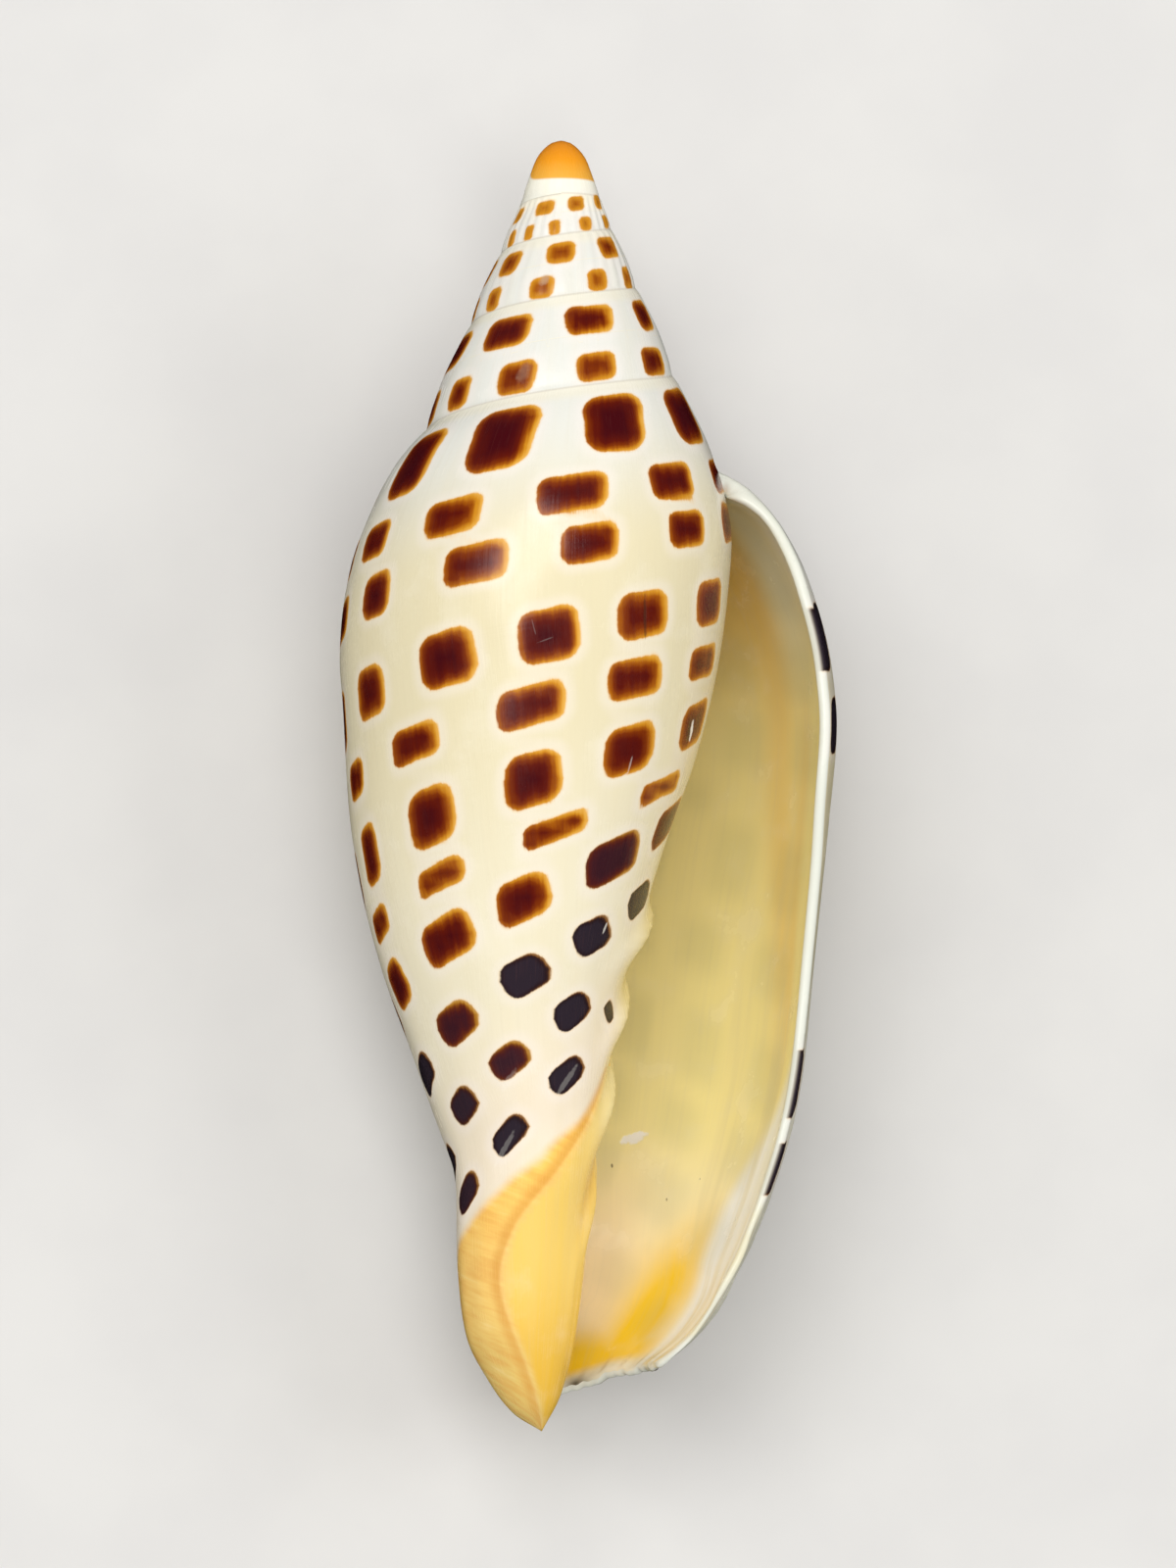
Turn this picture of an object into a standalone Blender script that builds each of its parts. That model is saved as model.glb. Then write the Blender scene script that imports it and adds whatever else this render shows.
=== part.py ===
"""A volute shell lying on its back with the aperture up, as one closed faceted solid.

The wall of a coiled shell is one outline swept round an axis while it grows, so two numbers name any place
on it. "turn" counts turns back along the growth spiral from the shell's right-hand side: 0 is the right
side, 0.25 the back, 0.5 the left, 0.75 the front, and 1 the right side again on the whorl before. "depth" is
the distance from the apex along the coiling axis, with the shell's length as 1. radius(turn, depth) is the
outer surface of every whorl. Inside the aperture, the same surface one turn further back is the parietal
wall and the columella with its folds.
"""

import bpy
import numpy as np

# Size and growth. Each whorl is larger than the one before, about a point just above the apex.
LENGTH = 0.105  # apex to tip, in metres
WHORL_GROWTH = 1.5
GROWTH_CENTRE = -0.0225
SPIRE_TURNS = 4.75  # where the oldest whorl runs out into the dome of the apex
HOLLOW_TURNS = 1.8  # how far the hollow reaches in from the lip

# Resting pose on the back: how far the apex is raised, and how far the left side is rolled down.
APEX_UP_DEGREES = 2.0
ROLL_DEGREES = 4.0
WORN_FLAT = 0.0003  # depth of the small flat on the back that the shell rests on, in metres

# The wall, as a share of the length.
WALL = 0.016
WALL_AT_TIP = 0.45  # share of the wall left at the tip
WALL_AT_LIP = 0.55  # share of the wall left at the lip
CORNER_AT_LIP = 0.020  # from the suture down to the inner corner of the aperture
CORNER_INSIDE = 0.032
NARROWEST_GAP = 0.004

# The outer lip: where it meets the older whorl, and how far its edge stands ahead of that at each share of
# the way down. The lip flares over the last part of a turn.
LIP_TOP = -0.015
LIP_LEAN = (
    (0, 0), (0.07, -0.014), (0.16, -0.027), (0.33, -0.031), (0.46, -0.019), (0.6, -0.012), (0.8, -0.014),
    (0.93, -0.04), (0.98, -0.036), (1, -0.02),
)
LEAN_FADES_BY = 0.30
LIP_FLARE = 0.034
FLARE_FROM, FLARE_TO = 0.07, -0.02  # turns over which it opens

# The siphonal notch: how deep the wall's end lies at each turn, until it meets the tip of the columella.
NOTCH_ENDS_AT = 0.385
NOTCH_EDGE = (
    (-0.1, 0.946), (0, 0.952), (0.11, 0.953), (0.175, 0.96), (0.222, 0.967), (0.278, 0.983), (0.333, 0.993),
    (NOTCH_ENDS_AT, 1),
)
HOLLOW_FOOT_RISE = 0.85  # how fast the bottom of the hollow climbs, against the whorls
TIP_LEFT, TIP_BACK = -0.0147, -0.015  # the columella's tip bends off the axis
BEND_STARTS = 0.75

# Levels and radii below are grown sizes: the place they would have if the whorl had grown on to turn 0.
# The suture climbs over the last half turn before the lip.
SUTURE = ((-0.05, 0.2796), (0, 0.2805), (0.25, 0.2988), (0.5, 0.309))
FOOT = ((0, 0.90), (0.5, 0.9959), (0.75, 1.067), (1, 1.10))  # where the base begins

# Outlines (level, radius) from the suture to the foot: at the lip, on the left side, and on older whorls.
LIP_OUTLINE = (
    (0.2805, 0.12), (0.2952, 0.1444), (0.3256, 0.1718), (0.3713, 0.1931), (0.4322, 0.2084), (0.475, 0.2122),
    (0.554, 0.2055), (0.65, 0.1953), (0.737, 0.1863), (0.7826, 0.1779), (0.828, 0.165), (0.874, 0.149),
    (0.90, 0.1365),
)
LEFT_OUTLINE = (
    (0.309, 0.1295), (0.3428, 0.159), (0.38, 0.1786), (0.4361, 0.199), (0.4921, 0.2075), (0.52, 0.2087),
    (0.5667, 0.2056), (0.66, 0.20), (0.7346, 0.1889), (0.8092, 0.1701), (0.8839, 0.143), (0.9585, 0.116),
    (0.9959, 0.1012),
)
OLD_OUTLINE = (
    (0.309, 0.1287), (0.351, 0.1526), (0.397, 0.1733), (0.4635, 0.193), (0.5, 0.1973), (0.566, 0.1926),
    (0.613, 0.1869), (0.66, 0.179), (0.7512, 0.156), (0.8255, 0.1287), (0.8985, 0.1047), (0.93, 0.095),
    (0.98, 0.0775), (1.04, 0.064), (1.10, 0.0545),
)

# The base below the foot: share of the way to the end, and share of the foot's radius left there. The lip,
# the back wall over the notch, the fasciole on the left, and the bare columella.
LIP_BASE = ((0, 1), (0.3, 0.95), (0.6, 0.88), (0.85, 0.80), (1, 0.74))
BACK_BASE = ((0, 1), (0.3, 0.93), (0.6, 0.82), (0.85, 0.69), (1, 0.60))
FASCIOLE = (
    (0, 1), (0.1, 0.958), (0.3, 0.935), (0.5, 0.875), (0.65, 0.785), (0.8, 0.565), (0.93, 0.29), (1, 0),
)
COLUMELLA = ((0, 1), (0.15, 0.82), (0.3, 0.67), (0.5, 0.61), (0.75, 0.5), (0.9, 0.32), (1, 0))
BACK_FROM, BACK_TO = 0, -0.09  # turns over which the back wall's outline turns into the lip's
TIP_STARTS = 0.2  # turn at which the fasciole begins to show below the back wall
FASCIOLE_EDGE = (  # (depth, turn) of the crease between the fasciole and the bare columella
    (0.72, 0.91), (0.7578, 0.833), (0.799, 0.75), (0.8515, 0.651), (0.8865, 0.625), (0.9337, 0.655),
    (1, 0.72),
)
CREASE_BEFORE, CREASE_AFTER = 0.05, 0.2  # turns on either side of the crease that it is spread over

# The four folds of the columella: level, height, and width as a share of the level.
FOLDS = ((0.944, 0.0165, 0.022), (1.036, 0.015, 0.022), (1.136, 0.0135, 0.022), (1.249, 0.0075, 0.025))
FOLDS_START, FOLDS_FULL = 0.80, 0.97

# The smooth dome of the first whorls (depth, radius), and the depths over which the whorls show below it.
APEX_DOME = (
    (0, 0), (0.0015, 0.0062), (0.005, 0.0115), (0.0137, 0.0187), (0.029, 0.0247), (0.044, 0.0298),
    (0.06, 0.0352), (0.08, 0.0435),
)
DOME_ONLY, NO_DOME = 0.04, 0.075

# How finely the solid is divided.
COLUMNS = 36  # to a turn
BAND_ROWS = 3  # across a spire whorl
RIM_ROWS = 2  # round the edge of the lip
BODY_ROWS = 19  # from the aperture's upper corner to the tip
DOME_ROWS = 4


def smooth(low, high, x):
    """0 below low, 1 above high, and an even S between."""
    t = np.clip((x - low) / (high - low), 0, 1)
    return t * t * (3 - 2 * t)


def curve(x, points):
    """A cubic through the points that never overshoots them. Past the ends it keeps the end values."""
    px, py = np.array(points, float).T
    step = np.diff(px)
    slope = np.diff(py) / step
    product = slope[1:] * slope[:-1]
    total = np.where(product > 0, slope[1:] + slope[:-1], 1)
    grade = np.concatenate([slope[:1], np.where(product > 0, 2 * product / total, 0), slope[-1:]])
    x = np.clip(x, px[0], px[-1])
    k = np.clip(np.searchsorted(px, x) - 1, 0, len(step) - 1)
    t = (x - px[k]) / step[k]
    ends = (1 + 2 * t) * (1 - t) ** 2 * py[k] + t**2 * (3 - 2 * t) * py[k + 1]
    grades = t * (1 - t) ** 2 * grade[k] + t**2 * (t - 1) * grade[k + 1]
    return ends + step[k] * grades


def grown(turn):
    """Size of the shell when it was growing at this turn, against its size at turn 0."""
    return WHORL_GROWTH ** -np.asarray(turn, float)


def suture_depth(turn):
    """Upper edge of the whorl. It runs level round the apex dome, where the oldest whorl ends."""
    depth = GROWTH_CENTRE + grown(turn) * curve(turn, SUTURE)
    return np.maximum(depth, GROWTH_CENTRE + grown(SPIRE_TURNS - 1) * SUTURE[-1][1])


def end_depth(turn):
    """Lower end of the whorl: the edge of the notch, then the tip."""
    return curve(turn, NOTCH_EDGE)


def base_share(turn, depth, foot_depth):
    """Share of the foot's radius left on the base."""
    share = np.clip((depth - foot_depth) / (end_depth(turn) - foot_depth), 0, 1)
    back = smooth(BACK_TO, BACK_FROM, turn)
    tip = smooth(TIP_STARTS, NOTCH_ENDS_AT, turn)
    edge = curve(depth, FASCIOLE_EDGE)
    bare = tip * smooth(edge - CREASE_BEFORE, edge + CREASE_AFTER, turn)
    lip_part = curve(share, LIP_BASE) * (1 - back) + curve(share, BACK_BASE) * (back - tip)
    return lip_part + curve(share, FASCIOLE) * (tip - bare) + curve(share, COLUMELLA) * bare


def plain_radius(turn, depth):
    """Radius from the outlines: the lip's turns into the left side's and then the older whorls'."""
    turn, depth = np.broadcast_arrays(np.asarray(turn, float), np.asarray(depth, float))
    size = grown(turn)
    level = (depth - GROWTH_CENTRE) / size
    left = smooth(-0.05, 0.5, turn)
    old = smooth(0.5, 1, turn)
    lip = (1 - left) * (1 - LIP_FLARE * smooth(FLARE_TO, FLARE_FROM, turn))
    top = curve(turn, SUTURE)
    foot = curve(turn, FOOT)
    share = np.clip((level - top) / (foot - top), -0.1, 1)
    body = 0
    for outline, weight in ((LIP_OUTLINE, lip), (LEFT_OUTLINE, left - old), (OLD_OUTLINE, old)):
        start, end = outline[0][0], outline[-1][0]
        body = body + weight * curve(start + share * (end - start), outline)
    radius_here = size * body * base_share(turn, depth, GROWTH_CENTRE + size * foot)
    dome = 1 - smooth(DOME_ONLY, NO_DOME, depth)
    radius_here = radius_here * (1 - dome) + curve(depth, APEX_DOME) * dome
    for fold_level, height, width in FOLDS:
        ridge = np.exp(-((np.log(np.maximum(level, WALL) / fold_level) / width) ** 2))
        radius_here = radius_here + smooth(FOLDS_START, FOLDS_FULL, turn) * size * height * ridge
    return radius_here


def radius(turn, depth):
    """Outer surface, with the top of each whorl drawn on to the whorl before it."""
    top = suture_depth(turn)
    miss = plain_radius(np.asarray(turn) + 1, top) - plain_radius(turn, top)
    return plain_radius(turn, depth) + miss * np.clip(1 - (depth - top) / (0.05 * grown(turn)), 0, 1) ** 2


def placed(turn, depth, radius_here):
    """Points in metres: x to the right, y to the apex, z to the front."""
    turn, depth, radius_here = np.broadcast_arrays(turn, depth, radius_here)
    angle = -2 * np.pi * turn
    bend = np.clip((depth - BEND_STARTS) / (1 - BEND_STARTS), 0, None) ** 2
    x = radius_here * np.cos(angle) + TIP_LEFT * bend
    z = radius_here * np.sin(angle) + TIP_BACK * bend
    return LENGTH * np.stack([x, -depth, z], axis=-1)


def outside(turn, depth):
    return placed(turn, depth, radius(turn, depth))


def inner_wall(turn, column_turn, depth, corner, foot, open_end):
    """Inner side of the outer wall. It stands off the columella by what the wall leaves, and shuts down to
    it at the upper corner and, where the end isn't open, at the foot of the hollow."""
    nudge = 0.001
    slope = np.clip((radius(turn, depth + nudge) - radius(turn, depth - nudge)) / (2 * nudge), -2, 2)
    wall = WALL * grown(column_turn) ** 0.7 * (1 - (1 - WALL_AT_TIP) * smooth(0.8, 1, depth))
    wall = wall * (WALL_AT_LIP + (1 - WALL_AT_LIP) * smooth(0, 0.2, column_turn - LIP_TOP))
    middle = radius(column_turn + 1, depth)
    gap = radius(turn, depth) - wall * np.hypot(1, slope) - middle
    gap = (gap + np.hypot(gap, NARROWEST_GAP)) / 2
    share = (depth - corner) / (foot - corner)
    near_top = np.clip(share / 0.03, 0, 1)
    near_foot = np.clip((1 - share) / 0.1, 0, 1)
    shut = 1 - np.sqrt(near_foot * (2 - near_foot))
    return middle + gap * np.sqrt(near_top * (2 - near_top)) * (1 - shut * (1 - open_end))


class Skin:
    """Points and triangles of one surface, gathered a grid at a time."""

    def __init__(self):
        self.points = np.empty((0, 3))
        self.faces = []

    def add(self, points):
        """Adds a grid of points and gives back the grid of their numbers."""
        first = len(self.points)
        self.points = np.concatenate([self.points, points.reshape(-1, 3)])
        return np.arange(first, len(self.points)).reshape(points.shape[:-1])

    def cover(self, grid, turned=False):
        """Two triangles to each cell of a grid of point numbers."""
        a, b, c, d = grid[:-1, :-1], grid[1:, :-1], grid[1:, 1:], grid[:-1, 1:]
        cells = np.concatenate([np.stack([a, b, c], -1), np.stack([a, c, d], -1)]).reshape(-1, 3)
        self.faces.append(cells[:, ::-1] if turned else cells)

    def join(self, one, two, one_at, two_at):
        """Triangles between two edges with unlike numbers of points, each stepped on in its own order."""
        opposite_one = two[np.searchsorted(two_at[1:], one_at[1:], side="left")]
        opposite_two = one[np.searchsorted(one_at[1:], two_at[1:], side="right")]
        self.faces.append(np.stack([opposite_one, one[1:], one[:-1]], -1))
        self.faces.append(np.stack([two[:-1], two[1:], opposite_two], -1))

    def whole_faces(self):
        """The triangles, without those that a pole or a shared corner has closed to a line."""
        faces = np.concatenate(self.faces)
        return faces[(faces != np.roll(faces, 1, axis=1)).all(axis=1)]


def unit(vectors):
    return vectors / (np.linalg.norm(vectors, axis=-1, keepdims=True) + 1e-12)


def rim_arcs(outer, inner, ahead):
    """Half circles from the outer edge to the inner edge, bulging ahead, without their two ends."""
    middle, half = (outer + inner) / 2, (outer - inner) / 2
    across = unit(half)
    ahead = unit(ahead - across * (ahead * across).sum(axis=-1, keepdims=True))
    reach = ahead * np.linalg.norm(half, axis=-1, keepdims=True)
    angles = np.pi * np.arange(1, RIM_ROWS) / RIM_ROWS
    return [middle + half * np.cos(angle) + reach * np.sin(angle) for angle in angles]


def shell_skin():
    """The whole surface of the shell, as points in shell coordinates and triangles."""
    skin = Skin()
    tip = skin.add(placed(0, 1, 0)[None])[0]
    apex = skin.add(placed(0, 0, 0)[None])[0]
    notch_column = round((NOTCH_ENDS_AT - LIP_TOP) * COLUMNS)
    last_column = round((SPIRE_TURNS - LIP_TOP) * COLUMNS)
    column_turn = LIP_TOP + np.arange(last_column + 1) / COLUMNS

    # Upper inner corner of the hollow, and the rows of a full column: spire band, rim, then the body.
    hollow = LIP_TOP + np.arange(round(HOLLOW_TURNS * COLUMNS) + 1) / COLUMNS
    drop = CORNER_AT_LIP + (CORNER_INSIDE - CORNER_AT_LIP) * smooth(0, 0.5, hollow)
    corner = suture_depth(hollow) + drop * grown(hollow)
    column_top = suture_depth(LIP_TOP + 1)
    band_share = (suture_depth(LIP_TOP) - column_top) / (1 - column_top)
    corner_share = (corner[0] - column_top) / (1 - column_top)
    body_share = 1 - (1 - np.linspace(0, 1, BODY_ROWS + 1)) ** 1.25
    rows = np.concatenate([
        np.linspace(0, band_share, BAND_ROWS + 1)[:-1],
        np.linspace(band_share, corner_share, RIM_ROWS + 1)[:-1],
        corner_share + (1 - corner_share) * body_share,
    ])

    # Outside of the last whorl, from the lip round to where the lip joins.
    turn = column_turn[: COLUMNS + 1, None]
    lean = 1 - smooth(0, LEAN_FADES_BY, turn - LIP_TOP)
    depth = suture_depth(turn) + rows * (end_depth(turn) - suture_depth(turn))
    whorl = skin.add(outside(turn + curve(rows, LIP_LEAN) * lean, depth))
    whorl[notch_column:, -1] = tip
    whorl[COLUMNS, BAND_ROWS] = whorl[0, 0]
    skin.cover(whorl, turned=True)

    # Spire: a band whose lower edge is the upper edge of the whorl below, ending on the dome's ring.
    turn = column_turn[COLUMNS + 1 :, None]
    share = np.arange(BAND_ROWS) / BAND_ROWS
    depth = suture_depth(turn) * (1 - share) + suture_depth(turn - 1) * share
    band = skin.add(outside(turn, depth))
    upper = np.concatenate([whorl[:, 0], band[:, 0]])
    band = np.column_stack([np.vstack([whorl[COLUMNS, :BAND_ROWS], band]), upper[: len(band) + 1]])
    band[-1] = band[-1, -1]
    skin.cover(band, turned=True)

    # Dome of the apex.
    ring = slice(last_column - COLUMNS, last_column)
    depth = suture_depth(SPIRE_TURNS) * (1 - np.arange(1, DOME_ROWS)[:, None] / DOME_ROWS) ** 1.7
    dome = skin.add(placed(column_turn[ring], depth, curve(depth, APEX_DOME)))
    dome = np.vstack([upper[ring], dome, np.full(COLUMNS, apex)])
    skin.cover(np.column_stack([dome, dome[:, 0]]), turned=True)

    # Parietal wall and columella inside the aperture, from the column where the lip joins.
    past_notch = np.clip(hollow - NOTCH_ENDS_AT, 0, None)
    foot = GROWTH_CENTRE + (1 - GROWTH_CENTRE) * grown(HOLLOW_FOOT_RISE * past_notch)
    depth = corner[:, None] + body_share * (foot - corner)[:, None]
    middle = skin.add(outside(hollow[:, None] + 1, depth))
    middle[0] = whorl[COLUMNS, BAND_ROWS + RIM_ROWS :]
    middle[: notch_column + 1, -1] = tip
    skin.cover(middle, turned=True)

    # Inner side of the outer wall.
    is_open = np.arange(len(hollow)) < notch_column
    foot = np.where(is_open, end_depth(hollow), foot)
    depth = corner[:, None] + body_share * (foot - corner)[:, None]
    top, end = suture_depth(hollow)[:, None], end_depth(hollow)[:, None]
    lean = 1 - smooth(0, LEAN_FADES_BY, hollow[:, None] - LIP_TOP)
    turn = hollow[:, None] + curve((depth - top) / (end - top), LIP_LEAN) * lean
    open_end = 1 - smooth(-0.02, 0.05, hollow - NOTCH_ENDS_AT)[:, None]
    wall = inner_wall(turn, hollow[:, None], depth, corner[:, None], foot[:, None], open_end)
    inside = skin.add(placed(turn, depth, wall))
    inside[:, 0] = middle[:, 0]
    inside[notch_column:, -1] = middle[notch_column:, -1]
    skin.cover(inside)
    skin.cover(np.column_stack([inside[-1], middle[-1]]).reshape(-1, 2), turned=True)

    # Rounded rim down the lip and along the notch.
    lip_outer, lip_inner = skin.points[whorl[0]], skin.points[inside[0]]
    level = np.interp(-lip_outer[:, 1], -lip_inner[:, 1], np.arange(len(lip_inner)))
    steps = np.arange(len(lip_inner))
    lip_inner = np.stack([np.interp(level, steps, lip_inner[:, axis]) for axis in range(3)], -1)
    lip_ahead = unit(lip_outer - skin.points[whorl[1]])
    notch_outer = skin.points[whorl[: notch_column + 1, -1]]
    notch_inner = skin.points[inside[: notch_column + 1, -1]]
    notch_ahead = unit(notch_outer - skin.points[whorl[: notch_column + 1, -2]])
    both = unit(lip_ahead[-1] + notch_ahead[0])
    lip_ahead += (both - lip_ahead) * smooth(0.93, 1, rows)[:, None]
    notch_ahead += (both - notch_ahead) * (1 - smooth(0, 0.06, hollow[: notch_column + 1] - LIP_TOP))[:, None]
    lip_rim, notch_rim = [whorl[0]], [whorl[: notch_column + 1, -1]]
    for points in rim_arcs(lip_outer, lip_inner, lip_ahead):
        lip_rim.append(skin.add(points))
        lip_rim[-1][0] = whorl[COLUMNS, BAND_ROWS + len(lip_rim) - 1]
    for number, points in enumerate(rim_arcs(notch_outer, notch_inner, notch_ahead), 1):
        notch_rim.append(skin.add(points))
        notch_rim[-1][0] = lip_rim[number][-1]
        notch_rim[-1][-1] = tip
    notch_rim.append(inside[: notch_column + 1, -1])
    skin.cover(np.stack(lip_rim))
    skin.join(lip_rim[-1], inside[0], np.arange(len(rows)), np.interp(steps, level, np.arange(len(rows))))
    skin.cover(np.column_stack(notch_rim), turned=True)
    return skin.points, skin.whole_faces()


def laid_down(points):
    """Turned to its resting pose, with the origin under the middle of its box and its back on the ground."""
    tilt, roll = np.radians(APEX_UP_DEGREES), np.radians(ROLL_DEGREES)
    rolled = np.array([[np.cos(roll), 0, -np.sin(roll)], [0, 1, 0], [np.sin(roll), 0, np.cos(roll)]])
    tilted = np.array([[1, 0, 0], [0, np.cos(tilt), -np.sin(tilt)], [0, np.sin(tilt), np.cos(tilt)]])
    points = points @ (tilted @ rolled).T
    low, high = points.min(axis=0), points.max(axis=0)
    points = points - [(low[0] + high[0]) / 2, (low[1] + high[1]) / 2, low[2] + WORN_FLAT]
    return np.maximum(points, [-np.inf, -np.inf, 0])


def shell_material():
    """Glossy ivory; the spots and the orange fasciole belong to the finish."""
    material = bpy.data.materials.new("ivory shell")
    material.use_nodes = True
    shader = material.node_tree.nodes["Principled BSDF"]
    shader.inputs["Base Color"].default_value = (0.84, 0.78, 0.62, 1)
    shader.inputs["Roughness"].default_value = 0.28
    shader.inputs["Metallic"].default_value = 0
    return material


def main():
    for old in list(bpy.data.objects):
        bpy.data.objects.remove(old)
    points, faces = shell_skin()
    mesh = bpy.data.meshes.new("shell")
    mesh.from_pydata(laid_down(points).tolist(), [], faces.tolist())
    mesh.materials.append(shell_material())
    mesh.shade_smooth()
    mesh.update()
    bpy.context.scene.collection.objects.link(bpy.data.objects.new("shell", mesh))


main()
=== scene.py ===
"""A spotted volute shell lying on its back on a pale floor, with its glaze, spots, scars and folds.

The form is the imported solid's own, worked out far more finely. Two numbers name any place on the wall.
"turn" counts turns back along the growth spiral from the shell's right-hand side: 0 is the right side,
0.25 the back, 0.5 the left, 0.75 the front, and 1 the right side again on the whorl before. "depth" is the
distance from the apex along the coiling axis, with the shell's length as 1. A "level" is the depth that a
place would have if its whorl had grown on to turn 0, so a spiral row of spots keeps one level.
"""

import bpy
import numpy as np
from mathutils import Matrix, Vector


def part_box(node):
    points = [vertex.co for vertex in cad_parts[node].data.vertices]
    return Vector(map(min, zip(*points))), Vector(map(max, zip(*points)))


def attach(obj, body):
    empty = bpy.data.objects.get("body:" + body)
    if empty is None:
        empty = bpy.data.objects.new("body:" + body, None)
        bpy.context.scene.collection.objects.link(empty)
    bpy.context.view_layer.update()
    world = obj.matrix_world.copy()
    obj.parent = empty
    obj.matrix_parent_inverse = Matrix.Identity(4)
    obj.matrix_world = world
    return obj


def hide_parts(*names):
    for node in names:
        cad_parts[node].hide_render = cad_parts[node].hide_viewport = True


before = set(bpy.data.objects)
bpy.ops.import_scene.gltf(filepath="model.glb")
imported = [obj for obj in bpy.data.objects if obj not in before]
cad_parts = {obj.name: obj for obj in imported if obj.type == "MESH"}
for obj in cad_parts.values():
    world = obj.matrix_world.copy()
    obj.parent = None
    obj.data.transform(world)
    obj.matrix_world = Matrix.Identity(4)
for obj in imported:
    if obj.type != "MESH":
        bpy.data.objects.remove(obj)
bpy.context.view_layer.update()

# Size and growth. Each whorl is larger than the one before, about a point just above the apex.
LENGTH = 0.105  # apex to tip, in metres
MM = 1000 * LENGTH  # millimetres in one length
WHORL_GROWTH = 1.5
GROWTH_CENTRE = -0.0225
SPIRE_TURNS = 4.75  # where the oldest whorl runs out into the dome of the apex
HOLLOW_TURNS = 1.8  # how far the hollow reaches in from the lip
HOLLOW_SEEN = 0.75  # how far in it is divided finely
COVERED_FROM = 0.98  # turn from which a younger whorl stands over the lower part of this one

# Resting pose on the back: how far the apex is raised, and how far the left side is rolled down.
APEX_UP_DEGREES = 2.0
ROLL_DEGREES = 4.0
WORN_FLAT = 0.0003  # depth of the small flat on the back that the shell rests on, in metres

# The wall, as a share of the length.
WALL = 0.016
LIP_THINS_OVER = 0.2  # turns behind the lip over which the wall thins
WALL_GROWTH = 0.7  # power of the shell's size that the wall grows with
WALL_AT_TIP = 0.45  # share of the wall left at the tip
WALL_AT_LIP = 0.55  # share of the wall left at the lip
CORNER_AT_LIP = 0.020  # from the suture down to the inner corner of the aperture
CORNER_INSIDE = 0.032
CORNER_ROUND, FOOT_ROUND = 0.03, 0.1  # shares of the hollow's height over which its two ends round off
NARROWEST_GAP = 0.004

# The outer lip: where it meets the older whorl, and how far its edge stands ahead of that at each share of
# the way down. The lip flares over the last part of a turn.
LIP_TOP = -0.015
LIP_LEAN = (
    (0, 0), (0.07, -0.014), (0.16, -0.027), (0.33, -0.031), (0.46, -0.019), (0.6, -0.012), (0.8, -0.014),
    (0.93, -0.04), (0.98, -0.036), (1, -0.02),
)
LEAN_FADES_BY = 0.30
LEAN_SETTLES_BY, LEAN_LEFT = 0.32, 0.38  # older growth lines stand more upright
LIP_FLARE = 0.034
FLARE_FROM, FLARE_TO = 0.07, -0.02  # turns over which it opens

# The siphonal notch: how deep the wall's end lies at each turn, until it meets the tip of the columella.
NOTCH_ENDS_AT = 0.385
NOTCH_EDGE = (
    (-0.1, 0.946), (0, 0.952), (0.11, 0.953), (0.175, 0.96), (0.222, 0.967), (0.278, 0.983), (0.333, 0.993),
    (NOTCH_ENDS_AT, 1),
)
NOTCH_CHIPS, CHIPPED_OVER = 0.0018, 0.022  # how deep its edge is chipped, and how far up that tells
HOLLOW_FOOT_RISE = 0.85  # how fast the bottom of the hollow climbs, against the whorls
TIP_LEFT, TIP_BACK = -0.0147, -0.015  # the columella's tip bends off the axis
BEND_STARTS = 0.75

# Levels and radii. The suture climbs over the last half turn before the lip.
SUTURE = ((-0.05, 0.2796), (0, 0.2805), (0.25, 0.2988), (0.5, 0.309))
FOOT = ((0, 0.90), (0.5, 0.9959), (0.75, 1.067), (1, 1.10))  # where the base begins

# Outlines (level, radius) from the suture to the foot: at the lip, on the left side, and on older whorls.
LIP_OUTLINE = (
    (0.2805, 0.12), (0.2952, 0.1444), (0.3256, 0.1718), (0.3713, 0.1931), (0.4322, 0.2084), (0.475, 0.2122),
    (0.554, 0.2055), (0.65, 0.1953), (0.737, 0.1863), (0.7826, 0.1779), (0.828, 0.165), (0.874, 0.149),
    (0.90, 0.1365),
)
LEFT_OUTLINE = (
    (0.309, 0.1295), (0.3428, 0.159), (0.38, 0.1786), (0.4361, 0.199), (0.4921, 0.2075), (0.52, 0.2087),
    (0.5667, 0.2056), (0.66, 0.20), (0.7346, 0.1889), (0.8092, 0.1701), (0.8839, 0.143), (0.9585, 0.116),
    (0.9959, 0.1012),
)
OLD_OUTLINE = (
    (0.309, 0.1287), (0.351, 0.1526), (0.397, 0.1733), (0.4635, 0.193), (0.5, 0.1973), (0.566, 0.1926),
    (0.613, 0.1869), (0.66, 0.179), (0.7512, 0.156), (0.8255, 0.1287), (0.8985, 0.1047), (0.93, 0.095),
    (0.98, 0.0775), (1.04, 0.064), (1.10, 0.0545),
)

# The base below the foot: share of the way to the end, and share of the foot's radius left there. The lip,
# the back wall over the notch, the fasciole on the left, and the bare columella.
LIP_BASE = ((0, 1), (0.3, 0.95), (0.6, 0.88), (0.85, 0.80), (1, 0.74))
BACK_BASE = ((0, 1), (0.3, 0.93), (0.6, 0.82), (0.85, 0.69), (1, 0.60))
FASCIOLE = (
    (0, 1), (0.1, 0.958), (0.3, 0.935), (0.5, 0.875), (0.65, 0.785), (0.8, 0.565), (0.93, 0.29), (1, 0),
)
COLUMELLA = ((0, 1), (0.15, 0.82), (0.3, 0.67), (0.5, 0.61), (0.75, 0.5), (0.9, 0.32), (1, 0))
BACK_FROM, BACK_TO = 0, -0.09  # turns over which the back wall's outline turns into the lip's
TIP_STARTS = 0.2  # turn at which the fasciole begins to show below the back wall
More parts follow.
